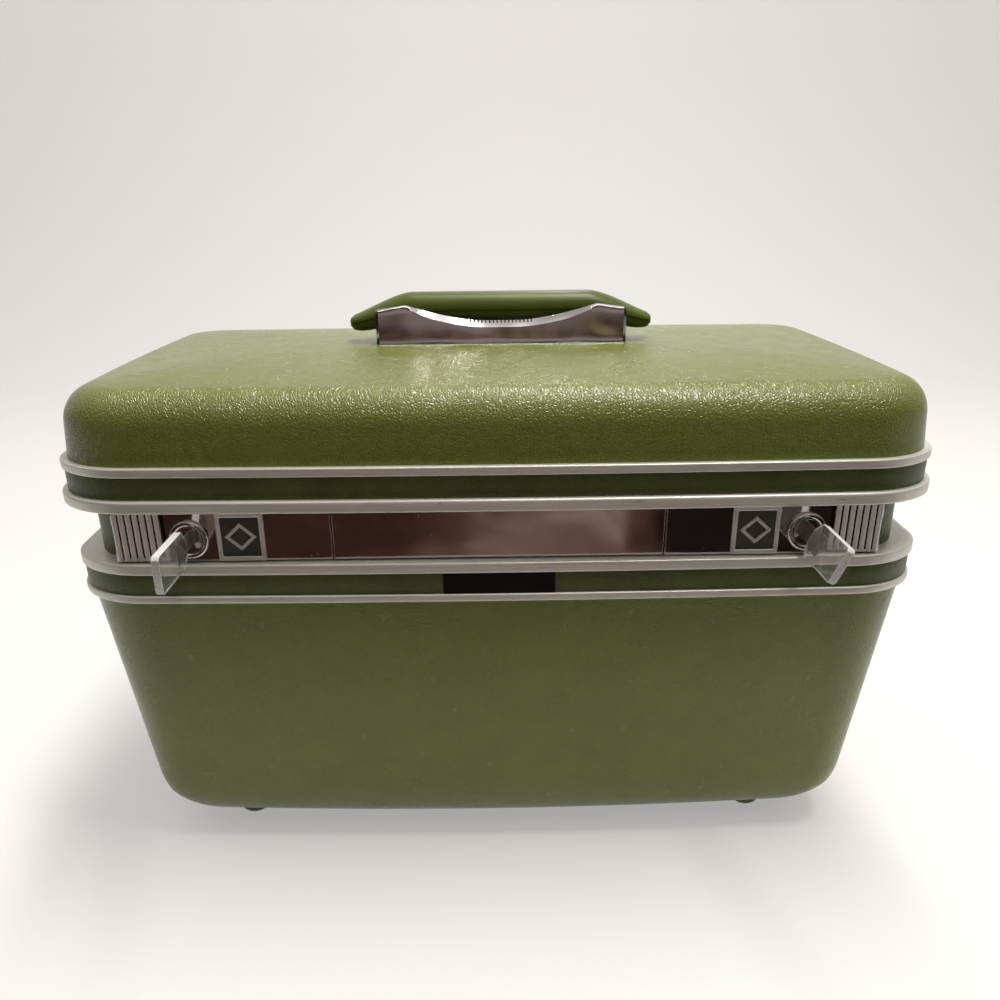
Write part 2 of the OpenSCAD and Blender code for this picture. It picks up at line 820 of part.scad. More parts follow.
module handle_lower() {
    color(handle_green)
        difference() {
            handle_half(-1);
            pin_places() {
                pin_rod(2 * handle_w, pin_d + 2 * slot_play);
                translate([0, 0, -handle_lift]) pin_rod(2 * handle_w, pin_d + 2 * slot_play);
                bar(-pin_d / 2 - slot_play, pin_d / 2 + slot_play, -handle_w, handle_w, -handle_lift, 0);
            }
        }
}

module handle_screws() {
    screw_x = pin_x / 2;
    screw_d = 5;
    head_h = 0.9;
    color(steel)
        translate([handle_shift, 0, z_trough + handle_under - head_h])
            both_sides()
                translate([screw_x, 0, 0]) cylinder(d = screw_d, h = head_h, $fn = 32);
}

// ---------- locks ----------

plate_y = -half_d + lock_set;
throat_face = -half_d + throat_set;
z_plate_low = z_shelf + 0.5;
z_plate_high = z_lip - 0.9;
plate_h = z_plate_high - z_plate_low;
z_lock = z_shelf + 9.5;
initial_x = cylinder_x - initial_pitch;
button_x = cylinder_x + button_reach;
button_in = button_x - button_w;
plate_out = button_in - catch_travel - run_gap;     // outer end of a lock plate
cover_y = throat_face - 0.5;

// channel-shaped cover: face with a return along the top and the bottom
module channel_plate(x0, x1) {
    bar(x0, x1, plate_y, plate_y + plate_t, z_plate_low, z_plate_high);
    for (z = [z_plate_low, z_plate_high - plate_t])
        bar(x0, x1, plate_y + plate_t - eps, cover_y, z, z + plate_t);
}

module centre_lock_plate() {
    color(chrome) channel_plate(-seam_x + 0.15, seam_x - 0.15);
}

module lock_plate() {
    color(chrome)
        difference() {
            channel_plate(seam_x + 0.15, plate_out);
            translate([cylinder_x, plate_y, z_lock]) pin_rod(4 * plate_t, cylinder_d + 0.6);
        }
}

// back cover of a lock, standing on the rim shelf
module lock_case() {
    case_x0 = seam_x + 4;
    case_x1 = button_in - 3;
    case_t = 0.8;
    color(steel) {
        bar(case_x0, case_x1, cover_y, cover_y + case_t / 2, z_shelf, z_plate_high - plate_t - 0.5);
        for (x = [case_x0, cylinder_x - bezel_d])
            bar(x, x + case_t, plate_y + plate_t, cover_y + eps, z_plate_low + plate_t, z_plate_high - plate_t);
    }
}

module initial_frame() {
    border = 1.8;
    proud = 0.9;
    color(chrome)
        translate([initial_x, plate_y, (z_plate_low + z_plate_high) / 2])
            difference() {
                translate([-initial_w / 2, -proud, -plate_h / 2 + 0.2]) cube([initial_w, proud, plate_h - 0.4]);
                translate([-initial_w / 2 + border, -proud - eps, -plate_h / 2 + 0.2 + border])
                    cube([initial_w - 2 * border, proud + 2 * eps, plate_h - 0.4 - 2 * border]);
            }
}

// bare plate with a plain raised lozenge where an initial would go
module initial_tile() {
    border = 1.8;
    tile_t = 0.35;
    color([0.25, 0.24, 0.22])
        translate([initial_x, plate_y, (z_plate_low + z_plate_high) / 2]) {
            translate([-initial_w / 2 + border, -tile_t, -plate_h / 2 + 0.2 + border])
                cube([initial_w - 2 * border, tile_t, plate_h - 0.4 - 2 * border]);
            translate([0, -tile_t + eps, 0]) rotate([90, 0, 0]) cylinder(r1 = 4.4, r2 = 2.6, h = 0.6, $fn = 4);
        }
}

module lock_ring() {
    wall = (bezel_d - cylinder_d) / 2 - 0.2;
    color(chrome)
        translate([cylinder_x, plate_y, z_lock])
            rotate([90, 0, 0])
                rotate_extrude($fn = arc_fn)
                    translate([bezel_d / 2 - wall, 0])
                        polygon(concat(
                            [[0, 0], [wall, 0]],
                            round_at(wall, bezel_h, 1, 1, 0.8, 0),
                            round_at(0, bezel_h, -1, 1, 0.6, 90)
                        ));
}

cylinder_back = cover_y - 0.9;

module lock_cylinder(lean) {
    front = plate_y - bezel_h * 0.55;
    color(chrome)
        translate([cylinder_x, 0, z_lock])
            rotate([0, lean, 0])
                difference() {
                    union() {
                        translate([0, front, 0]) rotate([-90, 0, 0])
                            cylinder(d = cylinder_d - 0.2, h = cylinder_back - front, $fn = arc_fn);
                        // short tail that carries the cam
                        translate([-2, cylinder_back - 1.1, 0]) cube([4, 1.1, cylinder_d / 2 + 1.6]);
                    }
                    translate([-blade_t / 2 - blade_play, front - eps, -blade_w / 2 - blade_play])
                        cube([blade_t + 2 * blade_play, key_depth + 0.3, blade_w + 2 * blade_play]);
                }
}

key_depth = 3.2;

module key_blade(lean) {
    front = plate_y - bezel_h * 0.55;
    bow_y = plate_y - key_reach;
    tail = 12;
    color(steel)
        translate([cylinder_x, 0, z_lock])
            rotate([0, lean, 0]) {
                bar(-blade_t / 2, blade_t / 2, bow_y - 2, front + key_depth, -blade_w / 2, blade_w / 2);
                bar(-blade_t / 2, blade_t / 2, bow_y - tail, bow_y - 2 + eps, -blade_w / 2 - 1.2, blade_w / 2 + 1.2);
            }
}

module key_bow(lean) {
    shoulder = 4;
    neck = 3.6;
    bow_y = plate_y - key_reach;
    half = bow_w / 2;
    color([0.85, 0.88, 0.88, 0.6])
        translate([cylinder_x, 0, z_lock])
            rotate([0, lean, 0])
                difference() {
                    rotate([90, 0, 90])
                        translate([0, 0, -bow_t / 2])
                            linear_extrude(bow_t)
                                polygon([
                                    [bow_y, -neck],
                                    [bow_y, neck],
                                    [bow_y - shoulder, half],
                                    [bow_y - bow_l + 1.2, half],
                                    [bow_y - bow_l, half - 1.2],
                                    [bow_y - bow_l, -half + 1.2],
                                    [bow_y - bow_l + 1.2, -half],
                                    [bow_y - shoulder, -half]
                                ]);
                    key_blade_space();
                }
}

// pocket in the bow that the blade's head fills
module key_blade_space() {
    bow_y = plate_y - key_reach;
    tail = 12;
    bar(-blade_t / 2, blade_t / 2, bow_y - 2, bow_y + 1, -blade_w / 2, blade_w / 2);
    bar(-blade_t / 2, blade_t / 2, bow_y - tail, bow_y - 2 + eps, -blade_w / 2 - 1.2, blade_w / 2 + 1.2);
}

// ---------- latches ----------

button_t = 1.2;
nose_t = 2.2;
nose_h = 4;
catch_play = 0.3;
catch_x = button_x - 11.4;
catch_y0 = plate_y + button_t + 0.4;
catch_w = 4.2;
z_nose = z_mid - nose_h / 2;

module slide_button() {
    pitch = button_w / button_ribs;
    rib_w = pitch * 0.55;
    z0 = z_plate_low + 0.2;
    z1 = z_plate_high - 0.2;
    color(chrome) {
        bar(button_in, button_x, plate_y, plate_y + button_t, z0, z1);
        for (i = [0 : button_ribs - 1])
            bar(button_in + pitch * (i + 0.5) - rib_w / 2, button_in + pitch * (i + 0.5) + rib_w / 2,
                plate_y - rib_h, plate_y + eps, z0, z1);
        bar(button_x - button_t, button_x, plate_y + button_t - eps, plate_y + 5.4, z0, z1);
    }
}

module bolt() {
    guide_in = plate_out - guide_hold - release_travel;
    y_mid = catch_y0 + catch_w / 2;
    color(steel) {
        // nose that enters the catch's window
        bar(catch_x + catch_t + catch_play, button_x - button_t, y_mid - nose_t / 2, y_mid + nose_t / 2,
            z_nose, z_nose + nose_h);
        // guide bar that runs behind the lock plate, fixed to the button's face
        bar(guide_in, button_x - button_t, plate_y + button_t, plate_y + button_t + 1.6,
            z_plate_low + plate_t + 0.2, z_plate_low + plate_t + 2.2);
        // riser that ties the nose to the guide bar
        bar(button_x - button_t - 1.6, button_x - button_t, plate_y + button_t, y_mid + nose_t / 2,
            z_plate_low + plate_t + 0.2, z_nose + eps);
    }
}

// plate that hangs from the lid and is held by the bolt's nose
module catch_plate() {
    window_play = 0.4;
    y_mid = catch_y0 + catch_w / 2;
    foot_t = 0.8;
    foot_l = 9;
    z_low = z_nose - 2.4;
    color(steel) {
        difference() {
            bar(catch_x, catch_x + catch_t, catch_y0, catch_y0 + catch_w, z_low, z_lip);
            bar(catch_x - eps, catch_x + catch_t + eps, y_mid - nose_t / 2 - window_play,
                y_mid + nose_t / 2 + window_play, z_nose - window_play, z_nose + nose_h + window_play);
        }
        bar(catch_x - foot_l + catch_t, catch_x + eps, catch_y0, catch_y0 + catch_w, z_lip - foot_t, z_lip);
    }
}

base_shell();
base_frame();
base_band();
throat_wall();
label_tape();
feet();
base_lining();
tray();
tray_rests();
centre_lock_plate();
on_side(-1) lock_plate();  // left_lock_plate
on_side(1) lock_plate();  // right_lock_plate
on_side(-1) lock_case();  // left_lock_case
on_side(1) lock_case();  // right_lock_case
on_side(-1) initial_frame();  // left_initial_frame
on_side(1) initial_frame();  // right_initial_frame
on_side(-1) initial_tile();  // left_initial_tile
on_side(1) initial_tile();  // right_initial_tile
on_side(-1) lock_ring();  // left_lock_ring
on_side(1) lock_ring();  // right_lock_ring
lower_hinge_leaves();
hinge_pins();
lower_leaf_rivets();
lid_shell();
lid_frame();
lid_band();
lid_lining();
mirror_glass();  // mirror
mirror_frame();
on_side(-1) catch_plate();  // left_catch
on_side(1) catch_plate();  // right_catch
upper_hinge_leaves();
upper_leaf_rivets();
handle_trough();
handle_pins();
trough_rivets();
handle_upper();
handle_lower();
handle_screws();
on_side(-1) slide_button();  // left_slide_button
on_side(1) slide_button();  // right_slide_button
on_side(-1) bolt();  // left_bolt
on_side(1) bolt();  // right_bolt
on_side(-1) lock_cylinder(0);  // left_lock_cylinder
on_side(1) lock_cylinder(right_key_lean);  // right_lock_cylinder
on_side(-1) key_blade(0);  // left_key_blade
on_side(1) key_blade(right_key_lean);  // right_key_blade
on_side(-1) key_bow(0);  // left_key_bow
on_side(1) key_bow(right_key_lean);  // right_key_bow
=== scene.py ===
import bpy, bmesh, math
from mathutils import Matrix, Vector


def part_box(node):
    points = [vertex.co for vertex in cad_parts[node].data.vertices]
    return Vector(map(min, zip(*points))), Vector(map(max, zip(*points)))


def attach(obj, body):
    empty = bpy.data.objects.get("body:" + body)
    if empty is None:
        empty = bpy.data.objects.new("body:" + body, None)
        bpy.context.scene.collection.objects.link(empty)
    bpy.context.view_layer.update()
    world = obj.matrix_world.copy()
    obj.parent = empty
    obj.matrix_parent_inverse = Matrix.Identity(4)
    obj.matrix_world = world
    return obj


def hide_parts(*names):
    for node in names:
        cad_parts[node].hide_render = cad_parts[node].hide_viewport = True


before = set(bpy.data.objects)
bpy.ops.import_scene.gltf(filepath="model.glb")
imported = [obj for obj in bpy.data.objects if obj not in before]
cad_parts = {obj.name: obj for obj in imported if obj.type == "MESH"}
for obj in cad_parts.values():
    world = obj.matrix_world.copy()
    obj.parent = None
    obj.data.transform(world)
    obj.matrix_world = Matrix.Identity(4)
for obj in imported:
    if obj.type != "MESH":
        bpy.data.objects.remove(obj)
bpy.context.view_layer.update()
scene = bpy.context.scene
mm = 0.001
print("frame loaded:", len(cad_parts), "nodes")


def toLinear(colour):
    # an sRGB hex colour as the linear values that sockets take; a number is a grey that is linear already
    if not isinstance(colour, str):
        return (colour, colour, colour, 1.0)
    parts = [int(colour[i:i + 2], 16) / 255 for i in (0, 2, 4)]
    return tuple(c / 12.92 if c <= 0.04045 else ((c + 0.055) / 1.055) ** 2.4 for c in parts) + (1.0,)


def joinTo(tree, node, links):
    for key, source in links.items():   # a source that is a node stands for its first output
        tree.links.new(getattr(source, "outputs", [source])[0], node.inputs[key])


def addNode(tree, kind, settings=None, links=None, stops=(), **values):
    # a shader node unless kind says otherwise: settings are its own, links join its inputs to other
    # nodes or sockets, stops are a ramp's, and values set inputs by name (From_Max) or number (i1)
    node = tree.nodes.new(kind if "Node" in kind else "ShaderNode" + kind)
    for key, value in (settings or {}).items():
        setattr(node, key, value)
    for key, value in values.items():
        place = int(key[1:]) if key[1:].isdigit() else key.replace("_", " ")
        node.inputs[place].default_value = value
    joinTo(tree, node, links or {})
    if stops:
        band = node.color_ramp
        while len(band.elements) < len(stops):
            band.elements.new(0.5)
        for element, (place, colour) in zip(band.elements, stops):
            element.position = place
            element.color = toLinear(colour)
    return node


def newMaterial(name, base, **values):
    material = bpy.data.materials.new(name)
    material.use_nodes = True
    tree = material.node_tree
    shader = tree.nodes["Principled BSDF"]
    shader.inputs["Base Color"].default_value = toLinear(base)
    for key, value in values.items():
        shader.inputs[key.replace("_", " ")].default_value = value
    material.diffuse_color = toLinear(base)
    return material, tree, shader


vinyl = {   # pattern scales are per metre, so 1000 is a spacing of 1 mm
    "wander": 150.0, "warp": 0.0017,   # creases wander by up to 1.7 mm
    "turn": (0.5, 0.3, 0.6), "stretch": (1.0, 0.45, 0.8),
    "fine": 900.0, "fineWidth": 0.22,
    "wide": 300.0, "wideWidth": 0.10, "wideShare": 0.45,
    "pores": 1500.0, "poreShare": 0.4,
    "sway": 90.0, "swayShare": 1.1,   # uneven over about 11 mm, as board under cloth is
    # shade is how much painted shade darkens the colour in the creases
    "strength": 0.62, "cloud": 30.0, "shade": 0.8, "smoother": 0.03, "rougher": 0.04,
}


def makeGrainedVinyl(name, base, dark, light, roughness, creaseDepth):
    # embossed PVC leathercloth, calendered and pressed: a soft sheen broken up by fine creases
    # about 1 mm apart and fainter ones about 3 mm apart, with pores in between
    material, tree, shader = newMaterial(name, base, Roughness=roughness, Specular_IOR_Level=0.5)
    coord = addNode(tree, "TexCoord").outputs["Object"]
    wander = addNode(tree, "TexNoise", links={"Vector": coord}, Scale=vinyl["wander"], Detail=1.0)
    shift = addNode(tree, "VectorMath", {"operation": "MULTIPLY_ADD"},
                    {0: wander.outputs["Color"], 2: coord}, i1=(vinyl["warp"],) * 3)
    folds = addNode(tree, "Mapping", links={"Vector": shift},
                    Rotation=vinyl["turn"], Scale=vinyl["stretch"])
    lines = {}
    for kind in ("fine", "wide"):
        cells = addNode(tree, "TexVoronoi", {"feature": "DISTANCE_TO_EDGE"},
                        {"Vector": folds}, Scale=vinyl[kind])
        lines[kind] = addNode(tree, "MapRange", {"interpolation_type": "SMOOTHSTEP"},
                              {"Value": cells}, From_Max=vinyl[kind + "Width"])
    pores = addNode(tree, "TexNoise", links={"Vector": coord}, Scale=vinyl["pores"], Detail=2.0)
    sway = addNode(tree, "TexNoise", links={"Vector": coord}, Scale=vinyl["sway"], Detail=4.0)
    both = addNode(tree, "Math", {"operation": "MULTIPLY_ADD"},
                   {0: lines["wide"], 2: lines["fine"]}, i1=vinyl["wideShare"])
    grain = addNode(tree, "Math", {"operation": "MULTIPLY_ADD"},
                    {0: pores, 2: both}, i1=vinyl["poreShare"])
    height = addNode(tree, "Math", {"operation": "MULTIPLY_ADD"},
                     {0: sway, 2: grain}, i1=vinyl["swayShare"])
    bump = addNode(tree, "Bump", links={"Height": height},
                   Strength=vinyl["strength"], Distance=creaseDepth * mm)
    cloud = addNode(tree, "TexNoise", links={"Vector": coord}, Scale=vinyl["cloud"], Detail=9.0,
                    Roughness=0.75)
    tint = addNode(tree, "ValToRGB", links={"Fac": cloud},
                   stops=((0.30, dark), (0.52, base), (0.72, light)))
    # painted shade: the colour is darkened a little along the crease lines and in the pores
    shade = addNode(tree, "ValToRGB", links={"Fac": grain}, stops=((0.25, 0.86), (0.9, 1.0)))
    tintWithCreaseShade = addNode(tree, "Mix", {"data_type": "RGBA", "blend_type": "MULTIPLY"},
                      {6: tint, 7: shade}, i0=vinyl["shade"])
    rough = addNode(tree, "ValToRGB", links={"Fac": sway},
                    stops=((0.3, roughness - vinyl["smoother"]), (0.7, roughness + vinyl["rougher"])))
    joinTo(tree, shader, {"Base Color": tintWithCreaseShade.outputs[2], "Normal": bump, "Roughness": rough})
    return material


strip = {"streaks": (14.0, 2600.0, 1.0), "blots": (60.0, 420.0, 1.0), "scuff": 0.30, "metal": 0.45}


def makeSatinAluminium(name, base, dark, scuffs):
    # drawn aluminium, etched and clear anodised: soft streaks along the strip from the die, about
    # 0.4 mm wide, with small dark scuffs where the strip has been knocked
    material, tree, shader = newMaterial(name, base, Metallic=strip["metal"], Roughness=0.36)
    uv = addNode(tree, "UVMap", {"uv_map": "along"})
    patterns = {}
    for kind, detail, fine in (("streaks", 4.0, 0.5), ("blots", 7.0, 0.72)):
        stretch = addNode(tree, "Mapping", links={"Vector": uv}, Scale=strip[kind])
        patterns[kind] = addNode(tree, "TexNoise", links={"Vector": stretch},
                                 Scale=1.0, Detail=detail, Roughness=fine)
    tone = addNode(tree, "ValToRGB", links={"Fac": patterns["streaks"]}, stops=((0.3, dark), (0.6, base)))
    marks = addNode(tree, "ValToRGB", links={"Fac": patterns["blots"]},
                    stops=((0.0, 1.0), (scuffs - 0.04, 1.0), (scuffs + 0.02, strip["scuff"])))
    mix = addNode(tree, "Mix", {"data_type": "RGBA", "blend_type": "MULTIPLY"},
                  {6: tone, 7: marks}, i0=1.0)
    rough = addNode(tree, "ValToRGB", links={"Fac": patterns["streaks"]},
                    stops=((0.3, 0.36), (0.7, 0.48)))
    bump = addNode(tree, "Bump", links={"Height": patterns["streaks"]}, Strength=0.12, Distance=0.1 * mm)
    joinTo(tree, shader, {"Base Color": mix.outputs[2], "Roughness": rough, "Normal": bump})
    return material


plating = {   # scales per metre: haze over about 14 mm, buffing waves over 26 mm, pinholes 2.4 mm apart
    "smear": 70.0, "waves": 38.0, "specks": 420.0, "pitSize": (0.05, 0.09), "pitShare": 0.94, "pitDepth": 0.1,
}


def makeChrome(name, base, roughness, haze, wave, metal=1.0):
    # decorative nickel-chrome plate, buffed: mirror bright over slow waves, with haze and pinholes
    material, tree, shader = newMaterial(name, base, Metallic=metal, Roughness=roughness)
    coord = addNode(tree, "TexCoord").outputs["Object"]
    smear = addNode(tree, "TexNoise", links={"Vector": coord}, Scale=plating["smear"], Detail=5.0,
                    Roughness=0.6)
    specks = addNode(tree, "TexVoronoi", {"feature": "F1"}, {"Vector": coord}, Scale=plating["specks"])
    rough = addNode(tree, "ValToRGB", links={"Fac": smear},
                    stops=((0.35, roughness), (0.75, roughness + haze)))
    pit = addNode(tree, "MapRange", links={"Value": specks},
                  From_Min=plating["pitSize"][0], From_Max=plating["pitSize"][1])
    chance = addNode(tree, "SeparateColor", links={0: specks.outputs["Color"]})
    pick = addNode(tree, "Math", {"operation": "GREATER_THAN"}, {0: chance}, i1=plating["pitShare"])
    hole = addNode(tree, "Mix", {"data_type": "FLOAT"}, {0: pick, 3: pit}, i2=1.0)
    buffed = addNode(tree, "TexNoise", links={"Vector": coord}, Scale=plating["waves"], Detail=1.0)
    waves = addNode(tree, "Bump", links={"Height": buffed}, Strength=1.0, Distance=wave * mm)
    bump = addNode(tree, "Bump", links={"Height": hole, "Normal": waves},
                   Strength=0.5, Distance=plating["pitDepth"] * mm)
    joinTo(tree, shader, {"Roughness": rough, "Normal": bump})
    return material


def makeCloudySurface(name, base, cloud, rough, tone=(), grain=None, **values):
    # a plain finish, a little uneven; cloud is a scale and a detail, grain a scale and a depth in mm
    material, tree, shader = newMaterial(name, base, **values)
    coord = addNode(tree, "TexCoord").outputs["Object"]
    clouds = addNode(tree, "TexNoise", links={"Vector": coord}, Scale=cloud[0], Detail=cloud[1])
    joinTo(tree, shader, {"Roughness": addNode(tree, "ValToRGB", links={"Fac": clouds}, stops=rough)})
    if tone:
        joinTo(tree, shader, {"Base Color": addNode(tree, "ValToRGB", links={"Fac": clouds}, stops=tone)})
    if grain:
        peel = addNode(tree, "TexNoise", links={"Vector": coord}, Scale=grain[0], Detail=3.0)
        bump = addNode(tree, "Bump", links={"Height": peel}, Strength=0.3, Distance=grain[1] * mm)
        joinTo(tree, shader, {"Normal": bump})
    return material


def makeMouldedPlastic(name, base, light, roughness, grainScale, grainDepth, coat=0.0, specular=0.5):
    # injection moulded plastic: a slight orange peel, 1 to 2 mm across, under the gloss
    return makeCloudySurface(name, base, (40.0, 5.0), ((0.3, roughness), (0.8, roughness + 0.1)),
                             ((0.3, base), (0.75, light)), (grainScale, grainDepth), Roughness=roughness,
                             Coat_Weight=coat, Coat_Roughness=0.12, Specular_IOR_Level=specular)


def makeWovenLining(name, base, dark):
    # rayon taffeta, plain woven: the real threads are finer, and the weave is drawn at about 1 mm
    # so that it still shows, over soft puckers of about 36 mm
    material, tree, shader = newMaterial(name, base, Roughness=0.62, Sheen_Weight=0.35, Sheen_Roughness=0.4)
    uv = addNode(tree, "UVMap", {"uv_map": "along"})
    threads = [addNode(tree, "TexWave", {"bands_direction": way}, {"Vector": uv},
                       Scale=310.0, Distortion=0.6) for way in ("X", "Y")]
    weave = addNode(tree, "Math", {"operation": "MAXIMUM"}, dict(enumerate(threads)))
    soft = addNode(tree, "TexNoise", links={"Vector": uv}, Scale=28.0, Detail=4.0)
    height = addNode(tree, "Math", {"operation": "MULTIPLY_ADD"}, {0: soft, 2: weave}, i1=5.0)
    tone = addNode(tree, "ValToRGB", links={"Fac": weave}, stops=((0.2, dark), (0.9, base)))
    bump = addNode(tree, "Bump", links={"Height": height}, Strength=0.4, Distance=0.2 * mm)
    joinTo(tree, shader, {"Base Color": tone, "Normal": bump})
    return material


def makeClearAcrylic(name):
    # cast PMMA, die cut: clear faces that have gone a little cloudy, with a few hairline scratches
    material, tree, shader = newMaterial(name, "eeecea", Transmission_Weight=0.92, IOR=1.45, Roughness=0.03)
    coord = addNode(tree, "TexCoord").outputs["Object"]
    turned = addNode(tree, "Mapping", links={"Vector": coord}, Rotation=(0.4, 0.2, 0.1),
                     Scale=(900.0, 60.0, 700.0))
    hairs = addNode(tree, "TexNoise", links={"Vector": turned}, Scale=1.0, Detail=2.0)
    rough = addNode(tree, "ValToRGB", links={"Fac": hairs}, stops=((0.45, 0.01), (0.75, 0.08)))
    bump = addNode(tree, "Bump", links={"Height": hairs}, Strength=0.06, Distance=0.1 * mm)
    joinTo(tree, shader, {"Roughness": rough, "Normal": bump})
    return material


finishes = {
    # vinyl: three tones, roughness, depth of the creases in mm
    "shell": makeGrainedVinyl("grained vinyl, shell", "6a742d", "656f2a", "6f7832", 0.24, 0.20),
    "band": makeGrainedVinyl("grained vinyl, band", "48521f", "3e4819", "525c25", 0.42, 0.14),
    "throat": makeGrainedVinyl("grained vinyl, throat", "4a5522", "424c1e", "545f29", 0.45, 0.10),
    "aluminium": makeSatinAluminium("satin anodised aluminium", "dedbd2", "c8c5bb", 0.68),
    # plate: tone, roughness, haze, depth of the waves in mm
    "chrome": makeChrome("nickel-chrome plate", "cfc9c9", 0.05, 0.07, 0.5),
    "handleChrome": makeChrome("nickel-chrome plate, handle", "d8d3d4", 0.12, 0.13, 2.6),
    "satin": makeChrome("satin nickel plate", "e6e3df", 0.36, 0.12, 0.1, metal=0.55),
    # cold rolled steel, bright zinc plated: satin grey, cloudy in patches of about 4 mm
    "steel": makeCloudySurface("zinc plated steel", "b4b4b0", (240.0, 5.0), ((0.3, 0.28), (0.7, 0.5)),
                               ((0.3, "8f8f8c"), (0.7, "b4b4b0")), Metallic=1.0, Roughness=0.38),
    # plastic: two tones, roughness, scale and depth in mm of the orange peel
    "handle": makeMouldedPlastic("moulded acrylonitrile plastic", "49531e", "515c24", 0.32, 900.0, 0.04,
                                 specular=0.14),
    "foot": makeMouldedPlastic("moulded polyethylene", "66763a", "6f8040", 0.42, 700.0, 0.05),
    "tape": makeMouldedPlastic("vinyl embossing tape", "050506", "0a0a0b", 0.4, 500.0, 0.03, specular=0.2),
    "tile": makeMouldedPlastic("black enamel", "3d3b36", "4a4842", 0.34, 600.0, 0.03),
    "tray": makeMouldedPlastic("moulded polystyrene", "e2d8bd", "eae1c9", 0.3, 500.0, 0.04, coat=0.1),
    "lining": makeWovenLining("rayon taffeta", "d8cba8", "b9aa84"),
    "acrylic": makeClearAcrylic("cast acrylic"),
    # the same acrylic where the die cut it: frosted by marks about 1 mm apart, so it gathers light
    "acrylicEdge": makeCloudySurface("cast acrylic, cut edge", "f0eeec", (900.0, 2.0),
                                     ((0.3, 0.25), (0.7, 0.5)), Transmission_Weight=0.35, IOR=1.49,
                                     Roughness=0.3),
    # float glass silvered on the back, with a faint bloom
    "mirror": makeCloudySurface("silvered glass", "dfe5e6", (30.0, 3.0), ((0.4, 0.015), (0.8, 0.05)),
                                Metallic=1.0, Roughness=0.02),
}
print("materials made:", len(finishes))


plan = {
    "width": 354.4, "depth": 224.0, "cornerRadius": 35.0, "frontBow": 2.2, "sideBow": 1.2,
    "softSet": 18.0, "cornerFade": 0.55, "bowFade": 0.8, "frontSteps": 20, "cornerSteps": 16, "sideSteps": 14,
}


def arcPoints(centre, radius, start, end, count):
    angles = [math.radians(start + (end - start) * i / count) for i in range(count)]
    return [(centre[0] + radius * math.cos(a), centre[1] + radius * math.sin(a)) for a in angles]


def outline(setIn, radius, bow=1.0):
    # closed outline of the case in plan, set in from the lip, in mm; bow is a share of the sides' own bulge
    hw, hd = plan["width"] / 2 - setIn, plan["depth"] / 2 - setIn
    frontBow, sideBow = plan["frontBow"] * bow, plan["sideBow"] * bow
    cx, cy = hw - sideBow - radius, hd - frontBow - radius   # centre of a corner

    def bowRadius(half, bulge):
        return (half * half + (radius + bulge) ** 2 - radius ** 2) / (2 * bulge)

    front, side = bowRadius(cx, frontBow), bowRadius(cy, sideBow)
    fa = math.degrees(math.atan(cx / (front - radius - frontBow)))   # half the angle that a front arc takes
    sa = math.degrees(math.atan(cy / (side - radius - sideBow)))
    nf, nc, ns = plan["frontSteps"], plan["cornerSteps"], plan["sideSteps"]
    arcs = (((0, front - hd), front, -90 - fa, -90 + fa, nf), ((cx, -cy), radius, -90 + fa, -sa, nc),
            ((hw - side, 0), side, -sa, sa, ns), ((cx, cy), radius, sa, 90 - fa, nc),
            ((0, hd - front), front, 90 - fa, 90 + fa, nf), ((-cx, cy), radius, 90 + fa, 180 - sa, nc),
            ((side - hw, 0), side, 180 - sa, 180 + sa, ns), ((-cx, -cy), radius, 180 + sa, 270 - fa, nc))
    return [point for arc in arcs for point in arcPoints(*arc)]


def inward(setIn):
    # 0 near the rim, 1 at the middle of the case
    soft = plan["softSet"]
    return max(0.0, (setIn - soft) / (plan["depth"] / 2 - soft))


def shellRing(setIn, z, bow):
    # parallel to the rim at first, then with corners that fade towards the middle
    radius = (plan["cornerRadius"] - min(setIn, plan["softSet"])) * (1 - plan["cornerFade"] * inward(setIn))
    return [Vector((x, y, z)) for x, y in outline(setIn, radius, bow)]


def lidRing(setIn, z):
    return shellRing(setIn, z, 1 - plan["bowFade"] * inward(setIn))


def bodyRing(setIn, z):
    body = bodyShape
    down = max(0.0, body["rim"] - z) / (body["rim"] - body["bottom"])
    return shellRing(setIn, z, 1 + (body["bulge"] - 1) * down)


def rimRing(setIn, z):
    return [Vector((x, y, z)) for x, y in outline(setIn, plan["cornerRadius"] - setIn)]


def addPiece(name, mesh):
    obj = bpy.data.objects.new(name, mesh)
    scene.collection.objects.link(obj)
    return obj


def smoothPiece(mesh, angle):
    mesh.shade_smooth()
    mesh.set_sharp_from_angle(angle=math.radians(angle))


def skin(name, rings, material, closed=False, smoothAngle=35):
    # skins a list of rings; closed joins the last ring to the first, or else both ends are capped
    count = len(rings[0])
    points = [p * mm for ring in rings for p in ring]
    faces = []
    spans = len(rings) if closed else len(rings) - 1
    for k in range(spans):
        a, b = k * count, (k + 1) % len(rings) * count
        faces += [(a + i, a + (i + 1) % count, b + (i + 1) % count, b + i) for i in range(count)]
    if not closed:
        faces.append(tuple(range(count))[::-1])
        faces.append(tuple((len(rings) - 1) * count + i for i in range(count)))
    # u runs along the ring and v across it, both in metres
    uvs, down = [], 0.0
    for k, ring in enumerate(rings):
        if k:
            down += (ring[0] - rings[k - 1][0]).length * mm
        length = 0.0
        for i, p in enumerate(ring):
            if i:
                length += (p - ring[i - 1]).length * mm
            uvs.append((length, down))
    mesh = bpy.data.meshes.new(name)
    mesh.from_pydata(points, [], faces)
    layer = mesh.uv_layers.new(name="along")
    for loop in mesh.loops:
        layer.data[loop.index].uv = uvs[loop.vertex_index]
    mesh.materials.append(material)
    work = bmesh.new()
    work.from_mesh(mesh)
    bmesh.ops.recalc_face_normals(work, faces=work.faces)
    work.to_mesh(mesh)
    work.free()
    smoothPiece(mesh, smoothAngle)
    return addPiece(name, mesh)


def dress(piece, body, slot, *nodes):
    # the piece rides on its body, in place of its CAD nodes
    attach(piece, body)
    if nodes:
        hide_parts(*nodes)


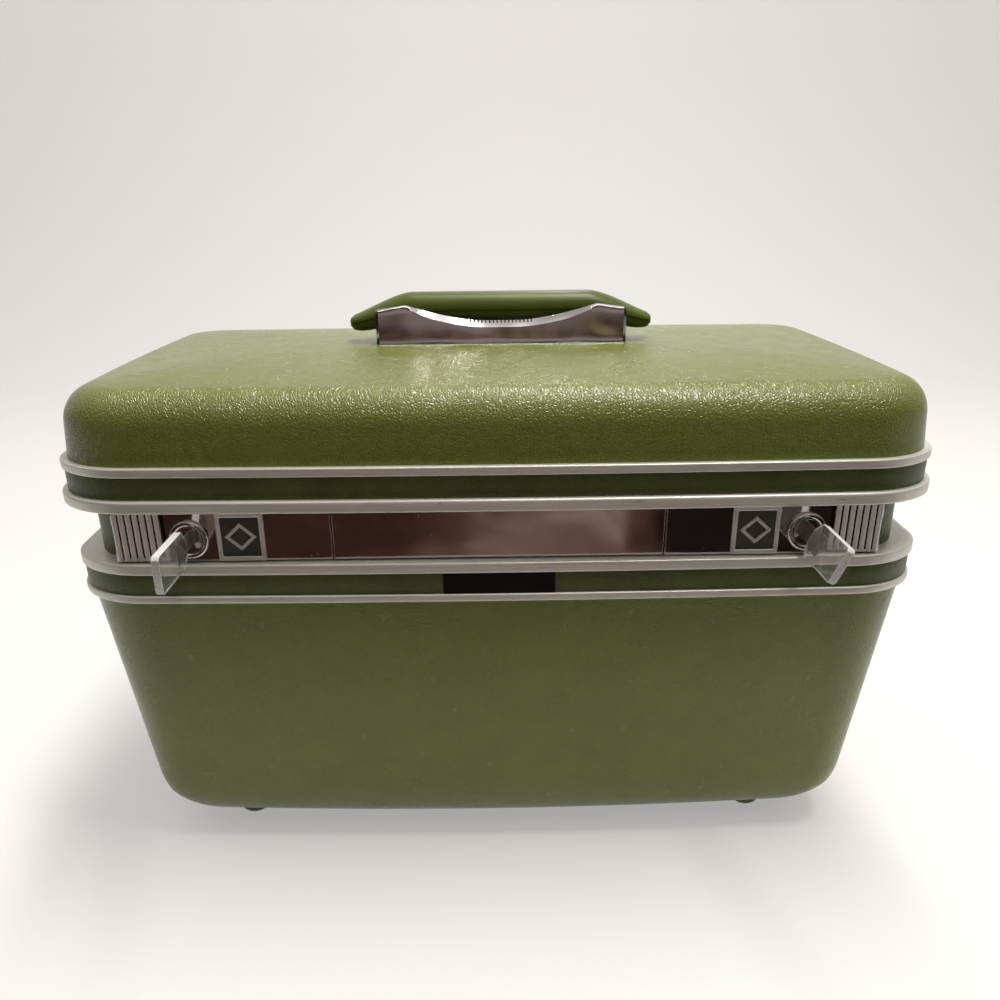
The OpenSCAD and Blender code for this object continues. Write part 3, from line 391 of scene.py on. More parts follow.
def applyModifiers(obj):
    bpy.context.view_layer.update()
    mesh = bpy.data.meshes.new_from_object(obj.evaluated_get(bpy.context.evaluated_depsgraph_get()))
    old, obj.data = obj.data, mesh
    obj.modifiers.clear()
    bpy.data.meshes.remove(old)


rounding = {"merge": 0.002, "flatWithin": 1.0, "bevelOver": 40}   # mm, degrees, degrees


def finishedCopy(node, name, material, edge, smoothAngle=35, segments=2):
    # a copy of a CAD node with its sharp edges rounded to the given radius, in mm
    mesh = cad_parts[node].data.copy()
    obj = addPiece(name, mesh)
    work = bmesh.new()
    work.from_mesh(mesh)
    bmesh.ops.remove_doubles(work, verts=work.verts, dist=rounding["merge"] * mm)
    bmesh.ops.dissolve_limit(work, angle_limit=math.radians(rounding["flatWithin"]), verts=work.verts,
                             edges=work.edges)
    bmesh.ops.recalc_face_normals(work, faces=work.faces)
    work.to_mesh(mesh)
    work.free()
    mesh.materials.clear()
    mesh.materials.append(material)
    smoothPiece(mesh, smoothAngle)
    if edge:
        bevel = obj.modifiers.new("edges", "BEVEL")
        bevel.harden_normals = True   # keeps flat faces flat in reflections
        bevel.width = edge * mm
        bevel.segments = segments
        bevel.limit_method = "ANGLE"
        bevel.angle_limit = math.radians(rounding["bevelOver"])
        bevel.use_clamp_overlap = True
        applyModifiers(obj)
    return obj


def dressCopy(node, body, slot, finish, edge, **more):
    # a finished copy named after its node, in the node's place
    first, *rest = node.split("_")
    name = first + "".join(word.capitalize() for word in rest)
    dress(finishedCopy(node, name, finishes[finish], edge, **more), body, slot, node)


def joinPieces(name, pieces):
    # one object from several, each with its own finishes
    work = bmesh.new()
    mesh = bpy.data.meshes.new(name)
    used = []
    for piece in pieces:
        before = len(work.faces)
        work.from_mesh(piece.data)
        used += [material for material in piece.data.materials if material not in used]
        places = [used.index(material) for material in piece.data.materials]
        for face in list(work.faces)[before:]:
            face.material_index = places[face.material_index]
    work.to_mesh(mesh)
    work.free()
    for material in used:
        mesh.materials.append(material)
    for piece in pieces:
        bpy.data.objects.remove(piece)
    return addPiece(name, mesh)


def box(name, low, high, material, edge):
    # a block between two corners with rounded edges, in mm
    mesh = bpy.data.meshes.new(name)
    work = bmesh.new()
    bmesh.ops.create_cube(work, size=1.0)
    size, middle = Vector(high) - Vector(low), (Vector(high) + Vector(low)) / 2
    for vert in work.verts:
        vert.co = Vector((vert.co[i] * size[i] + middle[i] for i in range(3))) * mm
    bmesh.ops.bevel(work, geom=work.edges[:], offset=edge * mm, segments=2, profile=0.5, affect="EDGES")
    work.to_mesh(mesh)
    work.free()
    mesh.materials.append(material)
    smoothPiece(mesh, rounding["bevelOver"])
    return addPiece(name, mesh)


bodyShape = {
    "rim": 125.1, "bottom": 5.0, "top": 139.4, "setIn": 5.0, "wall": 2.6,
    "draft": 6.4, "edgeRadius": 31.0, "bulge": 2.2,
}
lidShape = {
    "low": 164.0, "rim": 179.2, "edge": 206.3, "crown": 4.5, "setIn": 4.25, "wall": 2.6,
    "draft": 5.0, "edgeRadius": 15.0, "middle": 12.0, "crownSteps": 16,
}


def wallProfile(shape, wall, height, last, count=18):
    # a drafted wall with a rounded end, set in by a thickness: (set-in, distance from the rim)
    setIn, radius, draft = shape["setIn"] + wall, shape["edgeRadius"] - wall, shape["draft"]
    lean = math.radians(draft)
    centre = setIn + (height - radius + radius * math.sin(lean)) * math.tan(lean) + radius * math.cos(lean)
    angles = [math.radians(draft + (last - draft) * i / count) for i in range(count + 1)]
    return [(setIn, 0.0)] + [(centre - radius * math.cos(a), height - radius + radius * math.sin(a))
                             for a in angles]


def bodyRings(wall):
    profile = wallProfile(bodyShape, wall, bodyShape["rim"] - bodyShape["bottom"] - wall, 90)
    return [bodyRing(setIn, bodyShape["rim"] - down) for setIn, down in profile]


def lidRings(wall):
    lid = lidShape
    halfDepth = plan["depth"] / 2
    slope = 90 - math.degrees(math.atan(2 * lid["crown"] / (halfDepth - lid["setIn"] - lid["edgeRadius"])))
    profile = wallProfile(lid, wall, lid["edge"] - wall - lid["rim"], slope)
    rings = [lidRing(setIn, lid["rim"] + up) for setIn, up in profile]
    sEnd, zEnd = profile[-1][0], lid["rim"] + profile[-1][1]
    sMiddle = halfDepth - lid["middle"]
    zTop = lid["edge"] + lid["crown"] - wall
    for i in range(1, lid["crownSteps"] + 1):
        f = i / lid["crownSteps"]
        rings.append(lidRing(sEnd + (sMiddle - sEnd) * f, zEnd + (zTop - zEnd) * (1 - (1 - f) ** 2)))
    return rings


for name, shape, sweepRings, ringAt, lip, body, slot, node in (
        ("bodyShell", bodyShape, bodyRings, bodyRing, bodyShape["top"], "base", "shell_vinyl", "base_shell"),
        ("lidShell", lidShape, lidRings, lidRing, lidShape["low"], "lid", "shell_vinyl", "lid_shell")):
    # inside from the middle to the lip, then back over the outside
    edge = [ringAt(shape["setIn"] + shape["wall"], lip), ringAt(shape["setIn"], lip)]
    cup = sweepRings(shape["wall"])[::-1] + edge + sweepRings(0)
    dress(skin(name, cup, finishes["shell"], smoothAngle=50), body, slot, node)
print("shells made")


rim = {
    "lip": 162.2, "lipHeight": 4.8, "lipRound": 1.2,
    "beadSetIn": 1.35, "beadLow": 175.7, "beadHigh": 179.2,
    "bodySetIn": 2.1, "railLow": 136.9, "railHigh": 141.2, "bodyBeadLow": 125.1, "bodyBeadHigh": 128.2,
    "edge": 0.6, "groove": 1.9, "web": 1.0, "flange": 1.8, "band": 0.9, "bandEdge": 0.35, "bandGap": 0.05,
    "throatSetIn": 11.5, "throatWall": 2.5, "tongue": 0.8, "tongueGap": 0.7, "tongueHeight": 3.6,
    "tongueEdge": 0.2, "lidGap": 0.4,
}


def roundCorner(x, z, sideX, sideZ, radius, start, steps=5):
    # a quarter round about a corner, drawn in by its radius
    return [(x - sideX * radius + radius * math.cos(a), z - sideZ * radius + radius * math.sin(a))
            for a in (math.radians(start + 90 * i / steps) for i in range(steps + 1))]


def sweep(name, profile, finish):
    # a closed profile carried round the lip: x of a point is outwards from the lip, in mm
    return skin(name, [rimRing(-x, z) for x, z in profile], finishes[finish], closed=True)


lip, railHigh, flange, groove = rim["lip"], rim["railHigh"], rim["flange"], rim["groove"]
lidIn, bodyIn = rim["beadSetIn"], rim["bodySetIn"]
lidGroove, bodyGroove = lidIn + groove, bodyIn + groove
lidWall, bodyWall = lidGroove + rim["web"], bodyGroove + rim["web"]
throatOut, throatIn = rim["throatSetIn"], rim["throatSetIn"] + rim["throatWall"]
tongueIn, tongueTop, tongueEdge = throatIn - rim["tongue"], lip + rim["tongueHeight"], rim["tongueEdge"]
flangeIn = tongueIn - rim["tongueGap"]
lipTop, lidUnder = lip + rim["lipHeight"], lip - rim["lidGap"]


def bead(setIn, low, high):
    # the rounded outer edge of a rim's rail
    return roundCorner(-setIn, low, 1, -1, rim["edge"], -90) + roundCorner(-setIn, high, 1, 1, rim["edge"], 0)


def bandProfile(setIn, low, high):
    # a thin strip whose long edges are turned in a little
    outer, inner = rim["band"] - setIn, -setIn
    edge, gap = rim["bandEdge"], rim["bandGap"]
    return ([(inner, low), (outer - edge, low)] + roundCorner(outer, low + gap, 1, -1, edge, -90, 3)
            + roundCorner(outer, high - gap, 1, 1, edge, 0, 3) + [(outer - edge, high), (inner, high)])


lidRim = ([(-flangeIn, lip)] + roundCorner(0, lip, 1, -1, rim["edge"], -90)
          + roundCorner(0, lipTop, 1, 1, rim["lipRound"], 0)
          + [(-lidGroove, lipTop), (-lidGroove, rim["beadLow"])]
          + bead(lidIn, rim["beadLow"], rim["beadHigh"])
          + [(-lidWall, rim["beadHigh"]), (-lidWall, lip + flange), (-flangeIn, lip + flange)])
bodyRim = ([(-bodyWall, rim["bodyBeadLow"])] + bead(bodyIn, rim["bodyBeadLow"], rim["bodyBeadHigh"])
           + [(-bodyGroove, rim["bodyBeadHigh"]), (-bodyGroove, rim["railLow"])]
           + bead(bodyIn, rim["railLow"], railHigh)
           + [(-throatIn, railHigh), (-throatIn, railHigh - flange), (-bodyWall, railHigh - flange)])
throatWall = [(-throatIn, railHigh), (-throatOut, railHigh), (-throatOut, lidUnder), (-tongueIn, lidUnder),
              (-tongueIn, tongueTop - tongueEdge), (-tongueIn - tongueEdge, tongueTop),
              (-throatIn, tongueTop)]
lidBand = bandProfile(lidGroove, lipTop, rim["beadLow"])
bodyBand = bandProfile(bodyGroove, rim["bodyBeadHigh"], rim["railLow"])
for name, profile, finish, body, slot, node in (
        ("lidRim", lidRim, "aluminium", "lid", "rim_aluminium", "lid_frame"),
        ("bodyRim", bodyRim, "aluminium", "base", "rim_aluminium", "base_frame"),
        ("lidBand", lidBand, "band", "lid", "band_vinyl", "lid_band"),
        ("bodyBand", bodyBand, "band", "base", "band_vinyl", "base_band"),
        ("throatWall", throatWall, "throat", "base", "band_vinyl", "throat_wall")):
    dress(sweep(name, profile, finish), body, slot, node)
print("rims made")


grip = {
    "base": 210.8, "shift": 3.0, "top": 20.6, "under": 8.2, "length": 135.4, "width": 21.0, "shoulder": 40.0,
    "seam": 0.42, "tipDrop": 5.4, "dropShare": 1.08, "fade": 0.64, "slim": 0.72, "slimFrom": 8.0, "thin": 0.8,
    "legStep": 6.0, "legOver": 2.0, "legGap": 0.3, "roundY": 0.75, "roundZ": 0.8,
    "tipFrom": 0.97, "tipStart": 0.90, "tipTurn": 0.16,
    "stations": 96, "around": 28, "groove": 0.45, "grooveAt": 0.007, "lowerIn": 0.5,
}
trough = {
    "length": 110.8, "high": 16.2, "dip": 9.4, "wall": 2.4, "floor": 1.6, "gap": 0.5,
    "peak": 0.76, "endDrop": 1.8, "flat": 6.0, "curve": 1.7, "stations": 96, "endRound": 0.8,
    "foot": ((1.0, 0.0), (0.74, 0.7), (0.53, 1.6)), "bulge": 0.5, "lean": 0.06,
    "leanAt": (0.26, 0.4, 0.55, 0.7, 0.85, 1.0), "bevelHigh": 2.6, "bevelWide": 2.0, "bevelEnd": 0.5,
    "slimFrom": 0.5, "slimOver": 0.3, "endDown": 0.35, "endIn": 0.5, "crest": 0.15, "edge": 0.1,
}
tipX, troughHalf = grip["length"] / 2, trough["length"] / 2
gripTall = grip["top"] - grip["under"]
seamZ = grip["base"] + grip["under"] + gripTall * grip["seam"]
troughInner = grip["width"] / 2 + trough["gap"]


def limit(t):
    return min(max(t, 0), 1)


def ease(t):
    t = limit(t)
    return t * t * (3 - 2 * t)


def seamAt(x):
    reach = tipX - grip["shoulder"] + grip["legStep"]
    return seamZ - grip["tipDrop"] * ease((abs(x) - grip["shoulder"]) / reach) * grip["dropShare"]


def riseAt(x):
    t = limit((abs(x) - grip["shoulder"]) / (tipX - grip["shoulder"]))
    return (grip["top"] + grip["base"] - seamZ) * (1 - grip["fade"] * t ** 1.15)


def depthAt(x):
    # the grip's own underside, and the two legs that stand in the trough
    a, step = abs(x), grip["legStep"]
    leg = ease((a - grip["shoulder"] + step) / step) * ease((troughHalf + grip["legOver"] - a) / step)
    t = limit((a - troughHalf) / (tipX - troughHalf))
    free = (seamZ - grip["base"] - grip["under"]) * math.sqrt(1 - grip["thin"] * t * t)
    full = seamAt(x) - grip["base"] - trough["floor"] - grip["legGap"]
    return free + (full - free) * leg


def halfWidthAt(x):
    start = grip["shoulder"] + grip["slimFrom"]
    t = limit((abs(x) - start) / (tipX - start))
    return grip["width"] / 2 * math.sqrt(1 - grip["slim"] * t ** 3)


def handleHalf(name, up):
    # half sections over the top or under the grip; the seam is a fine groove, and the lower half
    # stands a little inside the upper one
    rings = []
    count = grip["around"]
    around = [0, grip["grooveAt"]] + [i / count for i in range(1, count)] + [1 - grip["grooveAt"], 1]
    for k in range(grip["stations"] + 1):
        t = -1 + 2 * k / grip["stations"]
        x = tipX * math.sin(t * math.pi / 2) * 0.5 + tipX * t * 0.5   # closer together near the tips
        halfWidth = halfWidthAt(x) - (0 if up > 0 else grip["lowerIn"])
        tall = riseAt(x) if up > 0 else depthAt(x)
        past = (abs(t) - grip["tipFrom"]) / (1 - grip["tipFrom"])
        tip = 1.0 if past < 0 else grip["tipStart"] - grip["tipTurn"] * past   # the last stations turn over
        ring = []
        for u in around:
            a = math.pi * (1 - u)
            c, s = math.cos(a), max(math.sin(a), 0)
            wide = tip * (halfWidth - (grip["groove"] if u in (0, 1) else 0))
            ring.append(Vector((x + grip["shift"], wide * math.copysign(abs(c) ** grip["roundY"], c),
                                seamAt(x) + up * tall * tip * s ** grip["roundZ"])))
        rings.append(ring)
    return skin(name, rings, finishes["handle"], smoothAngle=60)


dress(handleHalf("handleUpper", 1), "handle", "handle_plastic", "handle_upper")
dress(handleHalf("handleLower", -1), "handle", "handle_plastic", "handle_lower")
dressCopy("handle_screws", "handle", "plain_steel", "steel", 0.25)


def troughHeight(x):
    peak, a = troughHalf * trough["peak"], abs(x)
    if a > peak:
        return trough["high"] - trough["endDrop"] * (a - peak) / (troughHalf - peak)
    rise = max(0, a - trough["flat"]) / (peak - trough["flat"])
    return trough["dip"] + (trough["high"] - trough["dip"]) * rise ** trough["curve"]


def troughWall(name, side):
    # one pressed wall: flared foot, a face that leans in as it rises and a broad bevel along the top
    outer = troughInner + trough["wall"]
    rings = []
    for k in range(trough["stations"] + 1):
        x = -troughHalf + trough["length"] * k / trough["stations"]
        end = min(1.0, (troughHalf - abs(x)) / trough["endRound"])
        sink = 1 - math.sqrt(max(0.0, 1 - (1 - end) ** 2))   # the ends of the wall are rounded over
        z = grip["base"]
        top = z + troughHeight(x) - trough["endDown"] * sink
        face = outer - trough["endIn"] * sink
        thinning = ease((abs(x) / troughHalf - trough["slimFrom"]) / trough["slimOver"])
        slim = 1 - (1 - trough["bevelEnd"]) * thinning   # the bevel is thinner at the ends
        low, wide = trough["bevelHigh"] * slim, trough["bevelWide"] * slim
        tall = top - low - z
        points = [(troughInner, z)] + [(face + out, z + up) for out, up in trough["foot"]]
        points += [(face + trough["bulge"] - trough["lean"] * tall * f * f, z + tall * f)
                   for f in trough["leanAt"]]
        edge = trough["edge"]
        points += [(face - wide + edge, top - trough["crest"]), (face - wide, top), (troughInner + edge, top),
                   (troughInner, top - edge)]
        rings.append([Vector((side * x + grip["shift"], side * y, zz)) for y, zz in points])
    return skin(name, rings, finishes["handleChrome"], smoothAngle=22)


floorHalf = troughInner + trough["edge"]   # the floor runs a little way into the walls
troughFloor = box("troughFloor", (grip["shift"] - troughHalf, -floorHalf, grip["base"]),
                  (grip["shift"] + troughHalf, floorHalf, grip["base"] + trough["floor"]),
                  finishes["handleChrome"], 0.2)
walls = [troughWall("wallFront", -1), troughWall("wallBack", 1)]
dress(joinPieces("handleTrough", walls + [troughFloor]), "lid", "lock_chrome", "handle_trough")
dressCopy("handle_pins", "lid", "plain_steel", "steel", 0.3)
print("handle made")


def repeatOn(name, material, places, height, width, depth, kind, turned=(0.0, 0.0, 0.0)):
    # Geometry Nodes: sets one small shape on each point, then a real mesh is taken from it
    points = bpy.data.meshes.new(name + "Points")
    points.from_pydata([Vector(p) * mm for p in places], [], [])
    obj = addPiece(name, points)
    tree = bpy.data.node_groups.new(name + "Tree", "GeometryNodeTree")
    face = tree.interface
    face.new_socket("Geometry", in_out="INPUT", socket_type="NodeSocketGeometry")
    sizes = {label: face.new_socket(label, in_out="INPUT", socket_type="NodeSocketFloat")
             for label in ("Height", "Width", "Depth")}
    finish = face.new_socket("Finish", in_out="INPUT", socket_type="NodeSocketMaterial")
    face.new_socket("Geometry", in_out="OUTPUT", socket_type="NodeSocketGeometry")
    given = addNode(tree, "NodeGroupInput").outputs
    size = addNode(tree, "CombineXYZ",
                   links={"X": given["Width"], "Y": given["Depth"], "Z": given["Height"]})
    if kind == "dome":
        shape = addNode(tree, "GeometryNodeMeshUVSphere", Segments=24, Rings=12, Radius=0.5)
    else:
        shape = addNode(tree, "GeometryNodeMeshCylinder", Vertices=16, Radius=0.5, Depth=1.0)
    smooth = addNode(tree, "GeometryNodeSetShadeSmooth", links={"Geometry": shape.outputs["Mesh"]})
    placed = addNode(tree, "GeometryNodeInstanceOnPoints", None,
                     {"Points": given["Geometry"], "Instance": smooth, "Scale": size},
                     Rotation=turned)
    real = addNode(tree, "GeometryNodeRealizeInstances", links={"Geometry": placed})
    done = addNode(tree, "GeometryNodeSetMaterial", links={"Geometry": real, "Material": given["Finish"]})
    addNode(tree, "NodeGroupOutput", links={"Geometry": done})
    modifier = obj.modifiers.new("repeat", "NODES")
    modifier.node_group = tree
    for label, value in (("Height", height), ("Width", width), ("Depth", depth)):
        modifier[sizes[label].identifier] = value * mm
    modifier[finish.identifier] = material
    applyModifiers(obj)
    obj.data.set_sharp_from_angle(angle=math.radians(45))
    return obj


ridge = {"count": 17, "span": 27.0, "tall": 1.3, "wide": 0.8, "deep": 0.9, "inWall": 0.75, "sunk": 0.3}
ridgePlaces = []
for side in (-1, 1):
    for i in range(ridge["count"]):
        x = -ridge["span"] / 2 + ridge["span"] * i / (ridge["count"] - 1)
        ridgePlaces.append((x + grip["shift"], side * (troughInner + ridge["inWall"]),
                            grip["base"] + troughHeight(x) - ridge["sunk"]))
troughRidges = repeatOn("troughRidges", finishes["handleChrome"], ridgePlaces, ridge["tall"], ridge["wide"],
                        ridge["deep"], "bar", (math.radians(90), 0.0, 0.0))
dress(troughRidges, "lid", "lock_chrome")

rivet = {"head": 3.2, "tall": 0.8, "leafX": (-42.0, -78.0, 42.0, 78.0), "leafY": 102.3, "leaf": 1.2,
              "troughX": 26.0, "troughY": 5.04}
troughHeads = [(sx * rivet["troughX"] + grip["shift"], sy * rivet["troughY"], grip["base"] + trough["floor"])
               for sx in (-1, 1) for sy in (-1, 1)]
lowerHeads, upperHeads = ([(x, rivet["leafY"], z) for x in rivet["leafX"]]
                          for z in (railHigh + rivet["leaf"], lip - rivet["leaf"]))
for name, node, body, places in (("lowerRivets", "lower_leaf_rivets", "base", lowerHeads),
                                 ("upperRivets", "upper_leaf_rivets", "lid", upperHeads),
                                 ("troughRivets", "trough_rivets", "lid", troughHeads)):
    heads = repeatOn(name, finishes["steel"], places, 2 * rivet["tall"], rivet["head"], rivet["head"], "dome")
    dress(heads, body, "plain_steel", node)
print("ridges and rivets made")


lock = {
    "plateY": -104.6, "lowZ": 141.7, "highZ": 161.3, "edge": 0.5,
    "buttonIn": 131.4, "buttonOut": 150.4, "buttonPlate": 1.2, "buttonGap": 0.2, "foldDepth": 5.4,
    "buttonEdge": 0.25, "ribs": 7, "ribTall": 0.7, "ribShare": 0.72, "ribProud": 0.02, "ribEnd": 0.5,
    "tile": 0.35, "lozenge": (6.3, 5.6), "stroke": 2.1, "raise": 0.55, "slope": 0.5, "sunk": 0.05,
}


def initialTile(side):
    # an enamelled plate that carries a raised lozenge, open in the middle
    low, high = (Vector(corner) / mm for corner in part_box(side + "_initial_tile"))
    middle, face = (low + high) / 2, high.y - lock["tile"]
    plate = box(side + "TilePlate", (low.x, face, low.z), high, finishes["tile"], 0.1)
    wide, tall = lock["lozenge"]
    stroke, slope = lock["stroke"], lock["slope"]
    rings = []
    for inset, rise in ((0, -lock["sunk"]), (slope, lock["raise"]), (stroke - slope, lock["raise"]),
                        (stroke, -lock["sunk"])):
        x, z = wide - inset, (wide - inset) * tall / wide
        rings.append([Vector((middle.x + dx, face - rise, middle.z + dz))
                      for dx, dz in ((x, 0), (0, z), (-x, 0), (0, -z))])
    lozenge = skin(side + "Lozenge", rings, finishes["satin"], closed=True, smoothAngle=20)
    return joinPieces(side + "InitialTile", [plate, lozenge])


def thumbSlide(side, sign):
    # a folded plate with half round ribs along it
    low, high = lock["lowZ"] + lock["buttonGap"], lock["highZ"] - lock["buttonGap"]
    front, inner, outer, thick = lock["plateY"], lock["buttonIn"], lock["buttonOut"], lock["buttonPlate"]
    blocks = []
    for name, start, near, far in (("Plate", inner, front, front + thick),
                                   ("Fold", outer - thick, front + 0.2, front + lock["foldDepth"])):
        ends = sorted((sign * start, sign * outer))
        blocks.append(box(side + name, (ends[0], near, low), (ends[1], far, high), finishes["chrome"],
                          lock["buttonEdge"]))
    pitch = (outer - inner) / lock["ribs"]
    places = [(sign * (inner + pitch * (i + 0.5)), front + lock["ribProud"], (low + high) / 2)
              for i in range(lock["ribs"])]
    ribs = repeatOn(side + "Ribs", finishes["satin"], places, high - low - lock["ribEnd"],
                    pitch * lock["ribShare"], 2 * lock["ribTall"], "bar")
    return joinPieces(side + "SlideButton", blocks + [ribs])


dressCopy("centre_lock_plate", "base", "lock_chrome", "chrome", lock["edge"])
for side, sign in (("left", -1), ("right", 1)):
    dressCopy(side + "_lock_plate", "base", "lock_chrome", "chrome", lock["edge"])
    dressCopy(side + "_lock_case", "base", "plain_steel", "steel", 0.1)
    dressCopy(side + "_initial_frame", "base", "lock_chrome", "satin", 0.4)
    dressCopy(side + "_lock_ring", "base", "lock_chrome", "chrome", 0.0)
    dressCopy(side + "_catch", "lid", "plain_steel", "steel", 0.2)
    dressCopy(side + "_bolt", side + "_latch", "plain_steel", "steel", 0.15)
    dressCopy(side + "_lock_cylinder", side + "_cylinder", "lock_chrome", "chrome", 0.2)
    dressCopy(side + "_key_blade", side + "_key", "plain_steel", "steel", 0.15)
    dress(initialTile(side), "base", "tile_enamel", side + "_initial_tile")
    dress(thumbSlide(side, sign), side + "_latch", "lock_chrome", side + "_slide_button")
    bow = finishedCopy(side + "_key_bow", side + "KeyBow", finishes["acrylic"], 0.45, segments=3)
    bow.data.materials.append(finishes["acrylicEdge"])
    across = max(bow.data.polygons, key=lambda polygon: polygon.area).normal.copy()
    for polygon in bow.data.polygons:
        if abs(polygon.normal.dot(across)) < 0.93:   # the cut edge and its rounding
            polygon.material_index = 1
    dress(bow, side + "_key", "clear_acrylic", side + "_key_bow")
print("locks made")


for node, body in (("lower_hinge_leaves", "base"), ("hinge_pins", "base"), ("upper_hinge_leaves", "lid")):
    dressCopy(node, body, "plain_steel", "steel", 0.12)
dressCopy("label_tape", "base", "tape_plastic", "tape", 0.12)

foot = {"x": 121.0, "y": 62.0, "wide": 15.0, "flat": 7.0, "tall": 5.0, "round": 0.8, "steps": 13,
             "around": 40}
flatHalf, flare = foot["flat"] / 2, (foot["wide"] - foot["flat"]) / 2
bends = [math.pi / 2 * i / foot["steps"] for i in range(foot["steps"] + 1)]
turns = [2 * math.pi * i / foot["around"] for i in range(foot["around"])]
footProfile = [(flatHalf - foot["round"], 0.0)]
footProfile += [(flatHalf + flare * math.sin(a), foot["tall"] * (1 - math.cos(a))) for a in bends]
footPieces = []
for x, y in [(sx * foot["x"], sy * foot["y"]) for sx in (-1, 1) for sy in (-1, 1)]:
    rings = [[Vector((x + radius * math.cos(t), y + radius * math.sin(t), z)) for t in turns]
             for radius, z in footProfile]
    footPieces.append(skin("foot", rings, finishes["foot"]))
dress(joinPieces("feet", footPieces), "base", "feet_plastic", "feet")
print("hinges, tape and feet made")


cloth = {"gap": 0.25, "thick": 1.6, "bodyTop": 139.1, "lidLow": 164.3, "lidDrop": 4.6, "steps": 14}


def lining(name, shape, up, height, low, body, node, ringAt):
    # padded cloth a little inside a shell; up is 1 in the lid and -1 in the body
    outer = shape["wall"] + cloth["gap"]
    inner = outer + cloth["thick"]
    drops = (outer, inner) if up < 0 else (0.0, cloth["thick"])
    profiles = [wallProfile(shape, wall, height - drop, 90, cloth["steps"])
                for wall, drop in zip((outer, inner), drops)]
    outside, inside = ([ringAt(setIn, shape["rim"] + up * z) for setIn, z in profile] for profile in profiles)
    edge = [ringAt(shape["setIn"] + inner, low), ringAt(shape["setIn"] + outer, low)]
    piece = skin(name, inside[::-1] + edge + outside, finishes["lining"], smoothAngle=60)
    dress(piece, body, "lining_fabric", node)


lining("bodyLining", bodyShape, -1, bodyShape["rim"] - bodyShape["bottom"], cloth["bodyTop"], "base",
       "base_lining", bodyRing)
lining("lidLining", lidShape, 1, lidShape["edge"] - cloth["lidDrop"] - lidShape["rim"],
       cloth["lidLow"], "lid", "lid_lining", lidRing)

dressCopy("tray", "base", "tray_plastic", "tray", 0.4, smoothAngle=50)
dressCopy("tray_rests", "base", "lining_fabric", "lining", 0.8)
dressCopy("mirror_frame", "lid", "lock_chrome", "chrome", 0.5)
dress(finishedCopy("mirror", "mirrorGlass", finishes["mirror"], 0.2), "lid", "mirror_glass", "mirror")
print("inside made")


def curvedSheet(name, line, halfWidth, material):
    # a sheet that follows a line of (y, z) points, in metres
    mesh = bpy.data.meshes.new(name)
    mesh.from_pydata([(x, y, z) for y, z in line for x in (-halfWidth, halfWidth)], [],
                     [(2 * i, 2 * i + 1, 2 * i + 3, 2 * i + 2) for i in range(len(line) - 1)])
    mesh.shade_smooth()
    mesh.materials.append(material)
    sheet = addPiece(name, mesh)
    return sheet


def makePaper():
    # plain white paper that also looks evenly lit to the camera and in reflections
    material, tree, shader = newMaterial("seamless paper", "e8e6e4", Roughness=0.9)
    path = addNode(tree, "LightPath")
    white = addNode(tree, "Emission", Color=toLinear("f6f5f4"), Strength=1.0)
    seen = addNode(tree, "Math", {"operation": "MAXIMUM"},
                   {0: path.outputs["Is Camera Ray"], 1: path.outputs["Is Glossy Ray"]})
    direct = addNode(tree, "Math", {"operation": "MULTIPLY"}, {0: seen}, i1=0.4)
    mixed = addNode(tree, "MixShader", None, {0: direct, 1: shader, 2: white})
    joinTo(tree, tree.nodes["Material Output"], {"Surface": mixed})
    return material


backdrop = {"half": 4.0, "depth": 1.6, "tall": 2.2, "bend": 0.5, "steps": 12}   # metres
bendStart = backdrop["depth"] - backdrop["bend"]
bends = [math.pi / 2 * i / backdrop["steps"] for i in range(1, backdrop["steps"] + 1)]
floorLine = [(-backdrop["half"], 0.0), (bendStart, 0.0)]
floorLine += [(bendStart + backdrop["bend"] * math.sin(a), backdrop["bend"] * (1 - math.cos(a)))
              for a in bends]
floorLine += [(backdrop["depth"], backdrop["tall"])]
curvedSheet("floor", floorLine, backdrop["half"], makePaper())

cardLine = [(-0.25, 0.002), (-0.70, 0.01), (-0.95, 0.10), (-1.05, 0.30), (-1.1, 0.75)]
cardHalf = 0.9
# the card's tones are painted reflections for the chrome, not wear
felt = {
    "scale": 5.0, "stretch": (1.0, 1.6, 4.0), "slide": (0.13, 0.0, 0.0), "share": 0.4, "across": 0.3,
    "levels": ((0.05, 0.34), (0.3, 0.36), (0.5, 0.47), (0.68, 0.54), (0.76, 0.26)),
    "browns": ((0.46, "0c0504"), (0.56, "301b15"), (0.66, "48322c"), (0.80, "857269")),
    "greyFrom": 0.23, "greyTo": 0.48, "grey": "7f7876",
}


